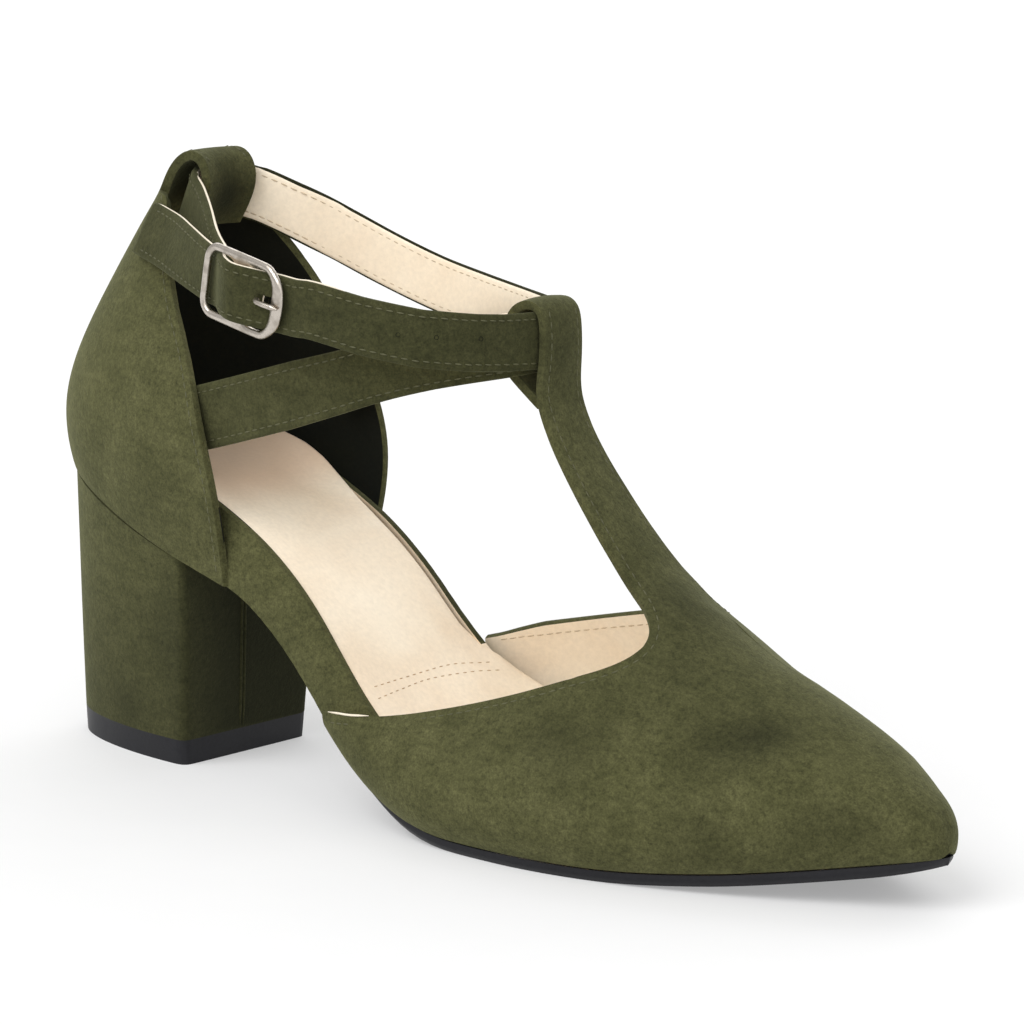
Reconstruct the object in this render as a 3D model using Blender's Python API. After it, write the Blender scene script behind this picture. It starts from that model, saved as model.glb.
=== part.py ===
"""Strap heeled shoe for the right foot: pointed vamp with an instep bar, heel counter, ankle strap with its
buckle, cross strap, foot bed, thin sole and block heel.

Tables are in millimetres: x runs from the back of the heel to the toe, -y is the outer side of the foot and
z is up from the floor. Meshes are made in metres about the middle of the footprint.
"""

import math
from collections import namedtuple

import bmesh
import bpy
import numpy as np

MM = 0.001
MIDDLE = np.array([123.1, -0.3, 0.0])
GAP = 0.3

WALL = 2.0
WELD = 0.002
LEAST_LEAN = 0.7
HOLLOW_END_X = 243.4
HOLLOW_TIP_X = 243.0
HOLLOW_TIP_RISE = 0.8
COUNTER_WALL = 2.2
BAND_WALL = 1.9
BAND_RIM = 0.5
BAND_BULGE = 0.9
BAND_STATIONS = 30
SOLE_THICK = 2.6
SOLE_INSET = 0.5
WAIST_THICK = 1.5
WAIST_INSET = 2.2
WAIST_END_X = 134.0
WAIST_FADE = 24.0
SOLE_CHAMFER = 1.1
SOLE_COLUMNS = 4
SOLE_BACK_X = 54.4
SOLE_JOIN_X = 94.0
SOLE_JOIN_ROW = 0.4
SOLE_TIP_ROWS = 0.04
SOLE_BACK_STATIONS = 13
SOLE_FRONT_STATIONS = 32
NARROW_INSET = 0.2
NARROW_TUCK = 0.3
BREAST_X = 54.0
LIFT_HIGH = 5.5
BED_DISH = 0.8
BED_EDGE = 1.0
BED_TUCK = 4.0
BED_TUCK_HIGH = 7.0
BED_LIP = 0.7
BED_COLUMNS = 5
BED_STATIONS = 48

STRAP_WIDE = 12.6
STRAP_THICK = 1.9
CROSS_WIDE = 12.2
CROSS_THICK = 1.9
STRAP_CHAMFER = 0.45

TOE_RISE = 1.2
THROAT_X = 165.0
# Side cut-outs ahead of the throat: pull at the wing, pull at the bar, and flare at the bar as a share
LATERAL_CUT = (12.0, 14.6, 0.055)
MEDIAL_CUT = (8.6, 8.6, 0.0)
CUT_SLOPE_STEP = 2.0
BAR_LATERAL_Y = -3.6
BAR_MEDIAL_Y = 14.0
BAR_CROWN = 0.5
BAR_FADE = 4.0
LOOP_FADE = 3.0
TONGUE_REACH = 1.05
FOOT_OUT = 0.65
FOOT_UP = 0.12
SIDE_DOWN = 0.6
LEAST_CREST = 0.05
PATH_STEP = 0.05
LATERAL_WING_X = 102.4
MEDIAL_WING_X = 104.0

WING_COLUMNS = 7
THROAT_COLUMNS = 8
BAR_COLUMNS = 4
VAMP_ROWS = 17
WING_ROWS = 10
BAR_ROWS = 29
OUTLINE_POINTS = 24

COUNTER_COLUMNS = 24
COUNTER_ROWS = 12
LOOP_COLUMNS = 12
LOOP_ROWS = 12
LOOP_BOW = 1.4
HEEL_ROUND = 0.85

BUCKLE_MIDDLE = np.array([79.3, -36.9, 114.6])
BUCKLE_YAW = -8.6
BUCKLE_PITCH = 8.2
BUCKLE_LONG = 26.0
BUCKLE_HIGH = 17.4
BUCKLE_BACK_CORNER = 4.4
BUCKLE_FRONT_CORNER = 5.7
BUCKLE_BAND = 2.0
BUCKLE_FRONT_BAND = 2.8
BUCKLE_THICK = 1.7
CENTRE_BAR_RADIUS = 0.8
PRONG_RADIUS = 0.85
PRONG_HOOK = 2.25
PRONG_HOOK_START = -150.0
PRONG_HOOK_END = -35.0
PRONG_HOOK_POINTS = 6
PRONG_ROWS = 20
PRONG_SIDES = 8
CENTRE_BAR_SIDES = 10
FRAME_SIDES = 8
FRAME_CORNER_POINTS = 7
SLOT_START = 6.5
SLOT_LONG = 3.7
SLOT_HIGH = 2.6
SLOT_DEEP = 9.0

Height = namedtuple("Height", "x z")

# Line where the upper meets the sole
FEATHER = [
    Height(0.0, 65.8), Height(20.0, 59.3), Height(40.0, 52.9), Height(54.0, 48.9), Height(62.0, 47.0),
    Height(71.0, 44.0), Height(80.0, 38.9), Height(90.0, 31.0), Height(101.0, 21.0), Height(110.0, 13.9),
    Height(120.0, 8.1), Height(132.0, 4.1), Height(143.0, 2.9), Height(178.0, 2.9), Height(200.0, 4.4),
    Height(220.0, 7.3), Height(236.0, 10.1), Height(248.0, 12.0),
]

# Top of the foot bed
BED = [
    Height(14.0, 73.2), Height(30.0, 70.2), Height(45.0, 67.0), Height(55.0, 64.6), Height(65.0, 61.0),
    Height(75.0, 56.2), Height(83.0, 51.2), Height(92.0, 44.2), Height(102.0, 34.6), Height(109.0, 28.0),
    Height(115.0, 23.2), Height(123.0, 17.6), Height(132.0, 13.2), Height(145.0, 9.8), Height(165.0, 8.2),
    Height(200.0, 9.2), Height(225.0, 12.2), Height(246.0, 15.0),
]

# Vamp sections from the waist to the toe point: half outlines from the sole edge over the side to the crest
PLACES = "x lat_foot lat_side med_foot med_side side_rise crest_y crest_z"
HANDLES = " lat_up lat_over med_up med_over"
Section = namedtuple("Section", PLACES + HANDLES)
VAMP = [
    Section(96.0, -29.8, -31.0, 20.9, 22.2, 5.0, 0.0, 54.0, 0.20, 0.15, 0.45, 0.45),
    Section(106.0, -32.3, -34.0, 22.9, 25.0, 7.0, 1.0, 56.0, 0.20, 0.15, 0.45, 0.45),
    Section(116.0, -34.4, -37.0, 27.4, 31.0, 8.5, 2.0, 58.0, 0.20, 0.15, 0.45, 0.45),
    Section(128.0, -36.6, -39.8, 32.6, 36.6, 10.0, 3.2, 60.0, 0.20, 0.15, 0.48, 0.48),
    Section(142.0, -38.2, -41.6, 36.0, 40.0, 11.0, 4.0, 62.8, 0.20, 0.15, 0.50, 0.50),
    Section(156.0, -38.4, -42.0, 37.8, 41.9, 11.5, 4.2, 63.8, 0.22, 0.18, 0.50, 0.50),
    Section(163.0, -37.9, -41.5, 37.9, 41.9, 11.5, 4.2, 61.5, 0.27, 0.23, 0.50, 0.50),
    Section(170.0, -36.9, -40.4, 37.6, 41.4, 11.5, 4.2, 57.3, 0.32, 0.29, 0.50, 0.50),
    Section(184.0, -33.4, -36.6, 35.2, 38.7, 11.0, 4.0, 48.9, 0.40, 0.39, 0.50, 0.50),
    Section(198.0, -28.2, -31.1, 30.6, 33.8, 10.0, 3.4, 42.4, 0.45, 0.45, 0.50, 0.50),
    Section(211.0, -22.6, -25.2, 26.4, 29.1, 9.0, 3.0, 37.6, 0.48, 0.48, 0.50, 0.50),
    Section(222.0, -17.0, -19.3, 21.3, 23.7, 8.0, 2.6, 33.3, 0.50, 0.50, 0.52, 0.52),
    Section(231.0, -12.1, -14.1, 16.0, 18.0, 6.8, 2.3, 29.1, 0.52, 0.52, 0.54, 0.54),
    Section(238.0, -8.0, -9.7, 11.6, 13.3, 5.6, 2.1, 25.2, 0.55, 0.55, 0.56, 0.56),
    Section(242.6, -4.6, -5.9, 8.2, 9.5, 4.4, 1.9, 21.8, 0.57, 0.57, 0.57, 0.57),
    Section(245.2, -1.6, -2.4, 5.2, 6.0, 2.8, 1.8, 17.8, 0.58, 0.58, 0.58, 0.58),
    Section(246.2, 1.8, 1.8, 1.8, 1.8, 0.2, 1.8, 12.6, 0.58, 0.58, 0.58, 0.58),
]

# Top edges of the wings
LATERAL_TOP = [
    Height(98.0, 23.4), Height(106.0, 23.8), Height(114.0, 24.6), Height(125.0, 26.8), Height(137.0, 30.2),
    Height(148.0, 33.8), Height(158.0, 37.6), Height(165.0, 40.6),
]
MEDIAL_TOP = [
    Height(100.0, 31.6), Height(104.0, 32.6), Height(110.0, 34.4), Height(124.0, 38.0), Height(135.0, 40.8),
    Height(146.0, 43.4), Height(155.0, 45.6), Height(165.0, 48.0),
]

# Instep bar from the throat over the front loop and down behind the straps: middle of its face and half width
Bar = namedtuple("Bar", "x z y half")
INSTEP_BAR = [
    Bar(165.0, 60.2, 5.2, 8.8), Bar(161.8, 63.6, 4.3, 8.1), Bar(157.5, 68.6, 3.4, 7.6),
    Bar(152.8, 74.6, 2.6, 7.4), Bar(148.2, 80.9, 1.9, 7.2), Bar(144.2, 87.2, 1.3, 7.2),
    Bar(141.2, 93.2, 1.1, 7.1), Bar(140.1, 97.0, 1.3, 7.0), Bar(139.8, 100.4, 1.7, 6.8),
    Bar(139.7, 104.8, 2.1, 6.6), Bar(139.3, 110.6, 2.2, 6.5), Bar(138.0, 114.9, 2.2, 6.5),
    Bar(134.0, 116.8, 2.2, 6.5), Bar(128.9, 115.0, 2.1, 6.2), Bar(126.1, 110.0, 2.1, 6.0),
    Bar(125.7, 103.6, 2.1, 5.9), Bar(127.3, 98.9, 2.2, 5.8), Bar(131.2, 95.7, 2.2, 5.7),
    Bar(136.4, 91.9, 2.2, 5.6),
]

# Waist band: outer face at the sole edge and at its top, and the rise of the inner side above the bed
Band = namedtuple("Band", "x lat_foot med_foot lat_top med_top arch")
WAIST_BAND = [
    Band(46.0, -24.6, 23.4, -21.6, 22.8, 0.0), Band(56.0, -25.6, 23.7, -22.6, 21.8, 0.2),
    Band(68.0, -26.2, 23.4, -23.7, 20.0, 0.8), Band(80.0, -27.0, 21.8, -24.5, 18.2, 2.0),
    Band(90.0, -28.0, 20.8, -25.5, 17.2, 2.7), Band(98.0, -29.4, 20.8, -26.7, 17.2, 2.6),
    Band(108.0, -31.6, 22.6, -28.5, 19.0, 1.6), Band(118.0, -33.4, 26.6, -30.2, 22.2, 0.6),
    Band(130.0, -34.0, 29.6, -31.8, 26.4, 0.0), Band(144.0, -34.6, 32.4, -32.8, 30.2, 0.0),
    Band(152.0, -34.8, 33.4, -33.2, 31.6, 0.0),
]

# Outline of the foot bed
Edge = namedtuple("Edge", "x lat med")
INSOLE = [
    Edge(17.8, 3.0, 3.2), Edge(18.6, -1.6, 8.0), Edge(20.4, -6.2, 12.2), Edge(24.0, -11.2, 16.4),
    Edge(29.0, -15.2, 19.2), Edge(36.0, -18.0, 20.7), Edge(46.0, -19.3, 20.5), Edge(56.0, -20.3, 19.5),
    Edge(68.0, -21.4, 17.7), Edge(80.0, -22.2, 15.9), Edge(90.0, -23.2, 14.9), Edge(98.0, -24.4, 14.9),
    Edge(108.0, -26.2, 16.7), Edge(118.0, -27.9, 19.9), Edge(130.0, -29.5, 24.1), Edge(144.0, -30.5, 27.9),
    Edge(156.0, -31.6, 30.8), Edge(170.0, -32.4, 32.9), Edge(184.0, -29.4, 30.9), Edge(198.0, -24.1, 26.4),
    Edge(211.0, -18.6, 22.2), Edge(222.0, -13.0, 17.1), Edge(231.0, -8.2, 11.8), Edge(236.6, -4.4, 7.9),
    Edge(239.4, -1.2, 4.7), Edge(240.4, 1.6, 1.9),
]

# Counter levels from the sole edge to the back loop; the outer front edge stands back by lat_back
Level = namedtuple("Level", "back_z back_x front_z front_x front_lat front_med mid lat_back")
COUNTER = [
    Level(65.2, 2.0, 45.4, 68.2, -27.4, 24.8, 0.6, 0.0),
    Level(70.0, 0.5, 55.5, 67.8, -29.0, 28.6, 0.8, 0.0),
    Level(76.5, 0.0, 67.0, 66.4, -30.6, 32.2, 1.1, 0.0),
    Level(84.0, 1.4, 76.5, 63.8, -31.0, 33.0, 1.5, 0.0),
    Level(92.0, 4.4, 86.0, 60.2, -29.8, 32.2, 1.9, 0.2),
    Level(101.0, 8.6, 96.0, 55.6, -26.0, 29.4, 2.4, 1.4),
    Level(110.0, 13.2, 106.0, 50.2, -21.4, 26.2, 2.9, 4.4),
    Level(118.0, 17.6, 114.5, 45.0, -17.2, 22.8, 3.3, 5.0),
    Level(124.0, 21.0, 121.5, 39.4, -13.2, 19.4, 3.6, 3.4),
    Level(129.0, 24.2, 128.0, 32.0, -8.4, 15.8, 3.8, 0.6),
]

# Back loop over the ankle strap: middle of the outer face and half width
BACK_LOOP = [
    Bar(24.2, 129.0, 3.4, 9.0), Bar(26.6, 133.4, 3.1, 8.5), Bar(29.8, 137.0, 2.9, 8.1),
    Bar(34.0, 138.7, 2.8, 7.9), Bar(38.2, 137.2, 2.7, 7.8), Bar(40.2, 133.0, 2.7, 7.8),
    Bar(39.6, 128.4, 2.7, 7.7), Bar(37.6, 124.2, 2.7, 7.6), Bar(35.8, 120.8, 2.7, 7.5),
]

# Heel levels: flat breast in front, round back
Block = namedtuple("Block", "z back breast lat med")
HEEL_LOW = Block(LIFT_HIGH + GAP, 7.0, 52.4, -21.8, 22.0)
HEEL_HALF = Block(30.0, 5.0, 53.2, -23.2, 23.0)
HEEL_TOP = Block(56.0, 3.8, BREAST_X, -25.8, 24.0)
HEEL_MID_Y = 0.3
HEEL_COLUMNS = 26
HEEL_ROWS = 7
BREAST_COLUMNS = 4
LIFT_TUCK = 0.5

# Ankle strap from the buckle round the ankle to its free tip
Way = namedtuple("Way", "x y z lean_x lean_y")
ANKLE = [
    Way(74.0, -33.6, 114.6, 0.0, 0.05), Way(66.0, -28.8, 116.4, 0.0, 0.10),
    Way(58.0, -23.2, 118.8, 0.05, 0.12), Way(50.0, -16.8, 122.0, 0.14, 0.15),
    Way(41.6, -10.2, 125.2, 0.26, 0.12), Way(33.6, -3.8, 127.7, 0.32, 0.05),
    Way(30.4, 3.8, 128.6, 0.34, 0.0), Way(32.4, 10.8, 128.6, 0.27, -0.05),
    Way(38.4, 14.4, 127.6, 0.22, -0.06), Way(46.6, 18.7, 124.2, 0.16, -0.08),
    Way(55.0, 25.0, 119.4, 0.08, -0.10), Way(66.0, 29.2, 114.3, 0.0, -0.06),
    Way(80.0, 30.9, 110.0, 0.0, -0.03), Way(94.0, 29.9, 107.8, 0.0, -0.03),
    Way(109.0, 26.2, 106.6, -0.04, -0.04), Way(121.6, 20.0, 106.6, -0.08, -0.03),
    Way(129.8, 14.0, 106.8, -0.10, 0.0), Way(134.2, 7.6, 107.0, -0.12, 0.0),
    Way(135.6, 0.6, 107.2, -0.12, 0.0), Way(134.4, -8.4, 107.6, -0.10, 0.0),
    Way(130.6, -19.4, 109.0, -0.06, 0.02), Way(124.2, -28.6, 110.6, -0.03, 0.03),
    Way(113.0, -34.6, 112.0, 0.0, 0.03), Way(101.0, -36.6, 113.0, 0.0, 0.02),
    Way(95.4, -36.6, 112.8, 0.0, 0.0), Way(90.2, -36.2, 113.1, 0.0, 0.0),
    Way(85.2, -37.7, 113.7, 0.0, 0.0), Way(79.0, -39.3, 114.6, 0.0, 0.0),
    Way(74.4, -37.2, 115.3, 0.0, 0.0), Way(70.2, -33.6, 115.9, 0.0, 0.0),
    Way(65.8, -32.0, 116.5, 0.0, 0.06), Way(59.0, -28.8, 117.6, 0.0, 0.14),
    Way(51.0, -24.6, 118.8, 0.05, 0.24), Way(42.6, -20.0, 119.9, 0.10, 0.34),
    Way(31.0, -15.0, 121.2, 0.18, 0.38),
]
ANKLE_ROWS = 86

# Buckle prong in front of its hook: distance from the centre bar and rise above the frame's middle plane
Reach = namedtuple("Reach", "along out")
PRONG = [
    Reach(4.4, -2.2), Reach(7.0, -2.6), Reach(8.8, -0.8), Reach(10.3, 1.7),
    Reach(11.5, 2.3), Reach(12.8, 2.35),
]

# Cross strap from the outer side of the counter through the front loop to the inner side
CROSS = [
    Way(55.0, -24.7, 81.2, 0.0, 0.0), Way(64.0, -25.7, 84.0, 0.0, 0.0),
    Way(78.0, -26.2, 88.6, 0.0, 0.03), Way(95.0, -25.4, 94.4, 0.0, 0.05),
    Way(109.0, -22.6, 99.4, 0.0, 0.06), Way(122.4, -16.4, 103.2, -0.04, 0.05),
    Way(130.8, -7.8, 105.2, -0.08, 0.02), Way(132.6, 1.0, 105.8, -0.10, 0.0),
    Way(130.8, 8.6, 105.4, -0.08, -0.02), Way(122.4, 16.0, 104.0, -0.04, -0.05),
    Way(108.0, 22.4, 101.0, 0.0, -0.06), Way(94.0, 26.2, 96.6, 0.0, -0.05),
    Way(78.0, 28.0, 91.0, 0.0, -0.03), Way(64.0, 27.6, 85.8, 0.0, 0.0),
    Way(55.0, 26.6, 82.6, 0.0, 0.0),
]
CROSS_ROWS = 44

SUEDE = ("olive_suede", (0.070, 0.072, 0.030), 0.95, 0.0)
LINING = ("beige_lining", (0.66, 0.50, 0.36), 0.55, 0.0)
RUBBER = ("black_rubber", (0.012, 0.012, 0.014), 0.45, 0.0)
NICKEL = ("pale_nickel", (0.72, 0.68, 0.62), 0.22, 1.0)


def smooth_through(knots, values, no_overshoot=True):
    """A function that runs smoothly through the values."""
    knots = np.asarray(knots, float)
    values = np.asarray(values, float)
    step = np.diff(knots)
    rise = np.diff(values) / step
    slope = np.empty_like(values)
    slope[0] = rise[0]
    slope[-1] = rise[-1]
    before = rise[:-1]
    after = rise[1:]
    if no_overshoot:
        same_way = before * after > 0
        first = 2 * step[1:] + step[:-1]
        second = step[1:] + 2 * step[:-1]
        shared = first / np.where(same_way, before, 1.0) + second / np.where(same_way, after, 1.0)
        slope[1:-1] = np.where(same_way, (first + second) / shared, 0.0)
    else:
        slope[1:-1] = (values[2:] - values[:-2]) / (knots[2:] - knots[:-2])

    def at(where):
        where = np.clip(np.asarray(where, float), knots[0], knots[-1])
        i = np.clip(np.searchsorted(knots, where, side="right") - 1, 0, len(step) - 1)
        t = (where - knots[i]) / step[i]
        start = (1 + 2 * t) * (1 - t) ** 2 * values[i] + t * (1 - t) ** 2 * step[i] * slope[i]
        end = t * t * (3 - 2 * t) * values[i + 1] + t * t * (t - 1) * step[i] * slope[i + 1]
        return start + end

    return at


def column(table, name):
    return np.array([getattr(row, name) for row in table], float)


def by_x(table, name):
    return smooth_through(column(table, "x"), column(table, name))


def by_row(table, name, no_overshoot=True):
    return smooth_through(np.arange(len(table)), column(table, name), no_overshoot)


feather = by_x(FEATHER, "z")
bed = by_x(BED, "z")
lateral_top = by_x(LATERAL_TOP, "z")
medial_top = by_x(MEDIAL_TOP, "z")
arch = by_x(WAIST_BAND, "arch")
vamp = {name: by_row(VAMP, name) for name in Section._fields}
VAMP_TIP = len(VAMP) - 1.0
ROW_STEPS = np.linspace(0.0, VAMP_TIP, 1601)
ROW_X = vamp["x"](ROW_STEPS)


def vamp_row(x):
    """Place in the vamp table of a station along the foot."""
    return np.interp(x, ROW_X, ROW_STEPS)


def bezier(points, count):
    t = np.linspace(0.0, 1.0, count)[:, None]
    a, b, c, d = [np.asarray(p, float) for p in points]
    return (1 - t) ** 3 * a + 3 * (1 - t) ** 2 * t * b + 3 * (1 - t) * t * t * c + t ** 3 * d


def half_outline(row, side):
    """(y, z) points of one half of a vamp section, from the sole edge over the side to the crest."""
    foot_y = vamp[side + "_foot"](row)
    side_y = vamp[side + "_side"](row)
    foot_z = feather(vamp["x"](row))
    side_z = foot_z + vamp["side_rise"](row)
    crest = np.array([vamp["crest_y"](row), max(vamp["crest_z"](row), side_z + LEAST_CREST)])
    up = vamp[side + "_up"](row)
    over = vamp[side + "_over"](row)
    foot = np.array([foot_y, foot_z])
    wide = np.array([side_y, side_z])
    leave = foot + (wide - foot) * (FOOT_OUT, FOOT_UP)
    low = bezier((foot, leave, wide - (0.0, SIDE_DOWN * (side_z - foot_z)), wide), OUTLINE_POINTS)
    rise = wide + (0.0, up * (crest[1] - side_z))
    high = bezier((wide, rise, crest + (over * (side_y - crest[0]), 0.0), crest), 2 * OUTLINE_POINTS)
    return np.concatenate([low, high[1:]])


def run_of(points):
    """Share of the length reached at each point of a line."""
    lengths = np.concatenate([[0.0], np.cumsum(np.linalg.norm(np.diff(points, axis=0), axis=1))])
    return lengths / max(lengths[-1], 1e-9)


def vamp_point(row, share):
    """Point of the vamp's face: share 0 is the outer sole edge, 1 the crest and 2 the inner sole edge."""
    line = half_outline(row, "lat" if share <= 1.0 else "med")
    run = run_of(line)
    along = share if share <= 1.0 else 2.0 - share
    y = np.interp(along, run, line[:, 0])
    z = np.interp(along, run, line[:, 1])
    return np.array([vamp["x"](row), y, z])


def share_at_height(row, side, z):
    line = half_outline(row, side)
    return float(np.interp(z, line[:, 1], run_of(line)))


def share_at_width(row, side, y):
    line = half_outline(row, side)
    turn = OUTLINE_POINTS - 1
    upper = line[turn:]
    run = run_of(line)[turn:]
    order = np.argsort(upper[:, 0])
    return float(np.interp(y, upper[order, 0], run[order]))


def edge_slope(side, top):
    """Change of the share along a wing's top edge for each millimetre forward."""
    before = share_at_height(vamp_row(THROAT_X - CUT_SLOPE_STEP), side, top(THROAT_X - CUT_SLOPE_STEP))
    at_throat = share_at_height(vamp_row(THROAT_X), side, top(THROAT_X))
    return (at_throat - before) / CUT_SLOPE_STEP


def throat_ends(wing, bar, slope, cut):
    """Shares and stations along the round end of a side cut-out, from the wing's edge to the bar's."""
    leave = (THROAT_X + cut[0], wing + slope * cut[0])
    arrive = (THROAT_X + cut[1], bar - cut[2])
    line = bezier(((THROAT_X, wing), leave, arrive, (THROAT_X, bar)), THROAT_COLUMNS + 1)
    return line[:, 1], line[:, 0]


def vamp_grids():
    """Grids of the vamp's outer face: toe part, two wings, instep bar with its loop."""
    row = vamp_row(THROAT_X)
    wing_lat = share_at_height(row, "lat", lateral_top(THROAT_X))
    wing_med = 2.0 - share_at_height(row, "med", medial_top(THROAT_X))
    bar_lat = share_at_width(row, "lat", BAR_LATERAL_Y)
    bar_med = 2.0 - share_at_width(row, "med", BAR_MEDIAL_Y)
    cut_lat, cut_lat_x = throat_ends(wing_lat, bar_lat, edge_slope("lat", lateral_top), LATERAL_CUT)
    cut_med, cut_med_x = throat_ends(wing_med, bar_med, -edge_slope("med", medial_top), MEDIAL_CUT)
    cut_med = cut_med[::-1]
    cut_med_x = cut_med_x[::-1]
    bar = np.linspace(bar_lat, bar_med, BAR_COLUMNS + 1)
    inner = np.linspace(wing_med, 2.0, WING_COLUMNS + 1)
    outer = np.linspace(0.0, wing_lat, WING_COLUMNS + 1)
    shares = np.concatenate([outer, cut_lat[1:], bar[1:], cut_med[1:], inner[1:]])
    side = np.full(WING_COLUMNS, THROAT_X)
    level = np.full(BAR_COLUMNS, THROAT_X)
    stations = np.concatenate([side, [THROAT_X], cut_lat_x[1:], level, cut_med_x[1:], side])
    starts = vamp_row(stations)
    steps = np.linspace(0.0, 1.0, VAMP_ROWS + 1)
    toe = []
    for step in steps:
        rows = starts + (VAMP_TIP - starts) * step
        toe.append([vamp_point(at, share) for at, share in zip(rows, shares)])
    tip = VAMP[-1]
    toe[-1] = [np.array([tip.x, tip.crest_y, feather(tip.x) + TOE_RISE])] * len(shares)
    wings = []
    for side, end_x, top in (("lat", LATERAL_WING_X, lateral_top), ("med", MEDIAL_WING_X, medial_top)):
        wing = []
        for x in np.linspace(end_x, THROAT_X, WING_ROWS + 1):
            here = vamp_row(x)
            high = share_at_height(here, side, top(x))
            across = np.linspace(0.0, high, WING_COLUMNS + 1)
            if side == "med":
                across = 2.0 - across[::-1]
            wing.append([vamp_point(here, share) for share in across])
        wings.append(np.array(wing))
    first = np.array([vamp_point(row, share) for share in bar])
    tongue = tongue_grid(INSTEP_BAR, first, BAR_ROWS, BAR_FADE, BAR_CROWN, 0.0)
    return [np.array(toe), *wings, tongue[::-1]]


def ahead_on(place, axes, k):
    """Direction in which a table's line runs on at row k."""
    ahead = np.array([place[axis](k + PATH_STEP) - place[axis](k - PATH_STEP) for axis in axes])
    return ahead / np.linalg.norm(ahead)


def tongue_grid(table, first, rows, fade_rows, crown, bow):
    """Rows of a flat strip that leaves the edge 'first' and follows the table."""
    place = {name: by_row(table, name, False) for name in Bar._fields}
    start = table[0]
    t = np.clip((first[:, 1] - start.y) / start.half, -TONGUE_REACH, TONGUE_REACH)
    base = np.stack([np.full(len(t), start.x), start.y + start.half * t, np.full(len(t), start.z)], axis=1)
    grid = [first]
    for k in np.linspace(0.0, len(table) - 1.0, rows + 1)[1:]:
        fade = max(0.0, 1.0 - k / fade_rows) ** 2
        ahead = ahead_on(place, "xz", k)
        out = np.array([ahead[1], 0.0, -ahead[0]])
        middle = np.array([place["x"](k), 0.0, place["z"](k)])
        across = np.outer(place["y"](k) + place["half"](k) * t, (0.0, 1.0, 0.0))
        points = middle + across + fade * (first - base) - np.outer((1.0 - fade) * crown * t * t, out)
        points[:, 0] += (1.0 - fade) * bow * t * t
        grid.append(points)
    return np.array(grid)


def counter_grids():
    """Grids of the counter's outer face and of the back loop that grows from its top."""
    place = {name: by_row(COUNTER, name) for name in Level._fields}
    turns = np.linspace(-1.0, 1.0, COUNTER_COLUMNS + 1)
    angle = np.abs(turns) * math.pi / 2.0
    forward = 1.0 - np.cos(angle)
    outward = np.sin(angle) ** HEEL_ROUND
    low = COUNTER[0]
    grid = []
    for k in np.linspace(0.0, len(COUNTER) - 1.0, COUNTER_ROWS + 1):
        mid = place["mid"](k)
        wide = np.where(turns < 0.0, place["front_lat"](k) - mid, place["front_med"](k) - mid)
        x = place["back_x"](k) + (place["front_x"](k) - place["back_x"](k)) * forward
        x = x - np.where(turns < 0.0, place["lat_back"](k) * forward ** 2, 0.0)
        z = place["back_z"](k) + (place["front_z"](k) - place["back_z"](k)) * forward
        low_x = low.back_x + (low.front_x - low.back_x) * forward
        low_z = low.back_z + (low.front_z - low.back_z) * forward
        z = z + (1.0 - k / (len(COUNTER) - 1.0)) ** 2 * (feather(low_x) - low_z)
        grid.append(np.stack([x, mid + wide * outward, z], axis=1))
    grid = np.array(grid)
    centre = COUNTER_COLUMNS // 2
    reach = LOOP_COLUMNS // 2
    first = grid[-1, centre - reach : centre + reach + 1]
    loop = tongue_grid(BACK_LOOP, first, LOOP_ROWS, LOOP_FADE, 0.0, LOOP_BOW)
    return [grid, loop]


def material_of(look):
    name, colour, rough, metal = look
    found = bpy.data.materials.get(name)
    if found:
        return found
    made = bpy.data.materials.new(name)
    made.use_nodes = True
    shader = made.node_tree.nodes["Principled BSDF"]
    shader.inputs["Base Color"].default_value = (*colour, 1.0)
    shader.inputs["Roughness"].default_value = rough
    shader.inputs["Metallic"].default_value = metal
    made.diffuse_color = (*colour, 1.0)
    return made


def mesh_object(name, points, faces, look):
    """An object from points in millimetres, with doubled points joined."""
    mesh = bpy.data.meshes.new(name)
    mesh.from_pydata(((np.asarray(points) - MIDDLE) * MM).tolist(), [], faces)
    build = bmesh.new()
    build.from_mesh(mesh)
    bmesh.ops.remove_doubles(build, verts=build.verts, dist=WELD * MM)
    bmesh.ops.dissolve_degenerate(build, edges=build.edges, dist=WELD / 2.0 * MM)
    for face in build.faces:
        face.smooth = True
    build.to_mesh(mesh)
    build.free()
    mesh.materials.append(material_of(look))
    made = bpy.data.objects.new(name, mesh)
    bpy.context.scene.collection.objects.link(made)
    return made


def joined(grids):
    """Points and four-sided faces of grids that share their edges."""
    points = []
    faces = []
    known = {}
    for grid in grids:
        rows, columns = grid.shape[:2]
        index = np.empty((rows, columns), int)
        for i in range(rows):
            for j in range(columns):
                key = tuple(np.round(grid[i, j] / WELD).astype(int))
                if key not in known:
                    known[key] = len(points)
                    points.append(grid[i, j])
                index[i, j] = known[key]
        for i in range(rows - 1):
            for j in range(columns - 1):
                corners = [index[i, j], index[i + 1, j], index[i + 1, j + 1], index[i, j + 1]]
                corners = [c for n, c in enumerate(corners) if c != corners[n - 1]]
                if len(corners) > 2:
                    faces.append(corners)
    return np.array(points), faces


def inward(points, faces, thick):
    """Each point moved behind the face by the wall's thickness."""
    normals = np.zeros_like(points)
    planes = []
    for face in faces:
        corners = points[face]
        across = np.cross(corners[2] - corners[0], corners[-1] - corners[1])
        plane = across / max(np.linalg.norm(across), 1e-9)
        planes.append(plane)
        normals[face] += plane
    normals /= np.linalg.norm(normals, axis=1, keepdims=True)
    lean = np.ones(len(points))
    for face, plane in zip(faces, planes):
        lean[face] = np.minimum(lean[face], normals[face] @ plane)
    return points - normals * (thick / np.maximum(lean, LEAST_LEAN))[:, None]


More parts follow.
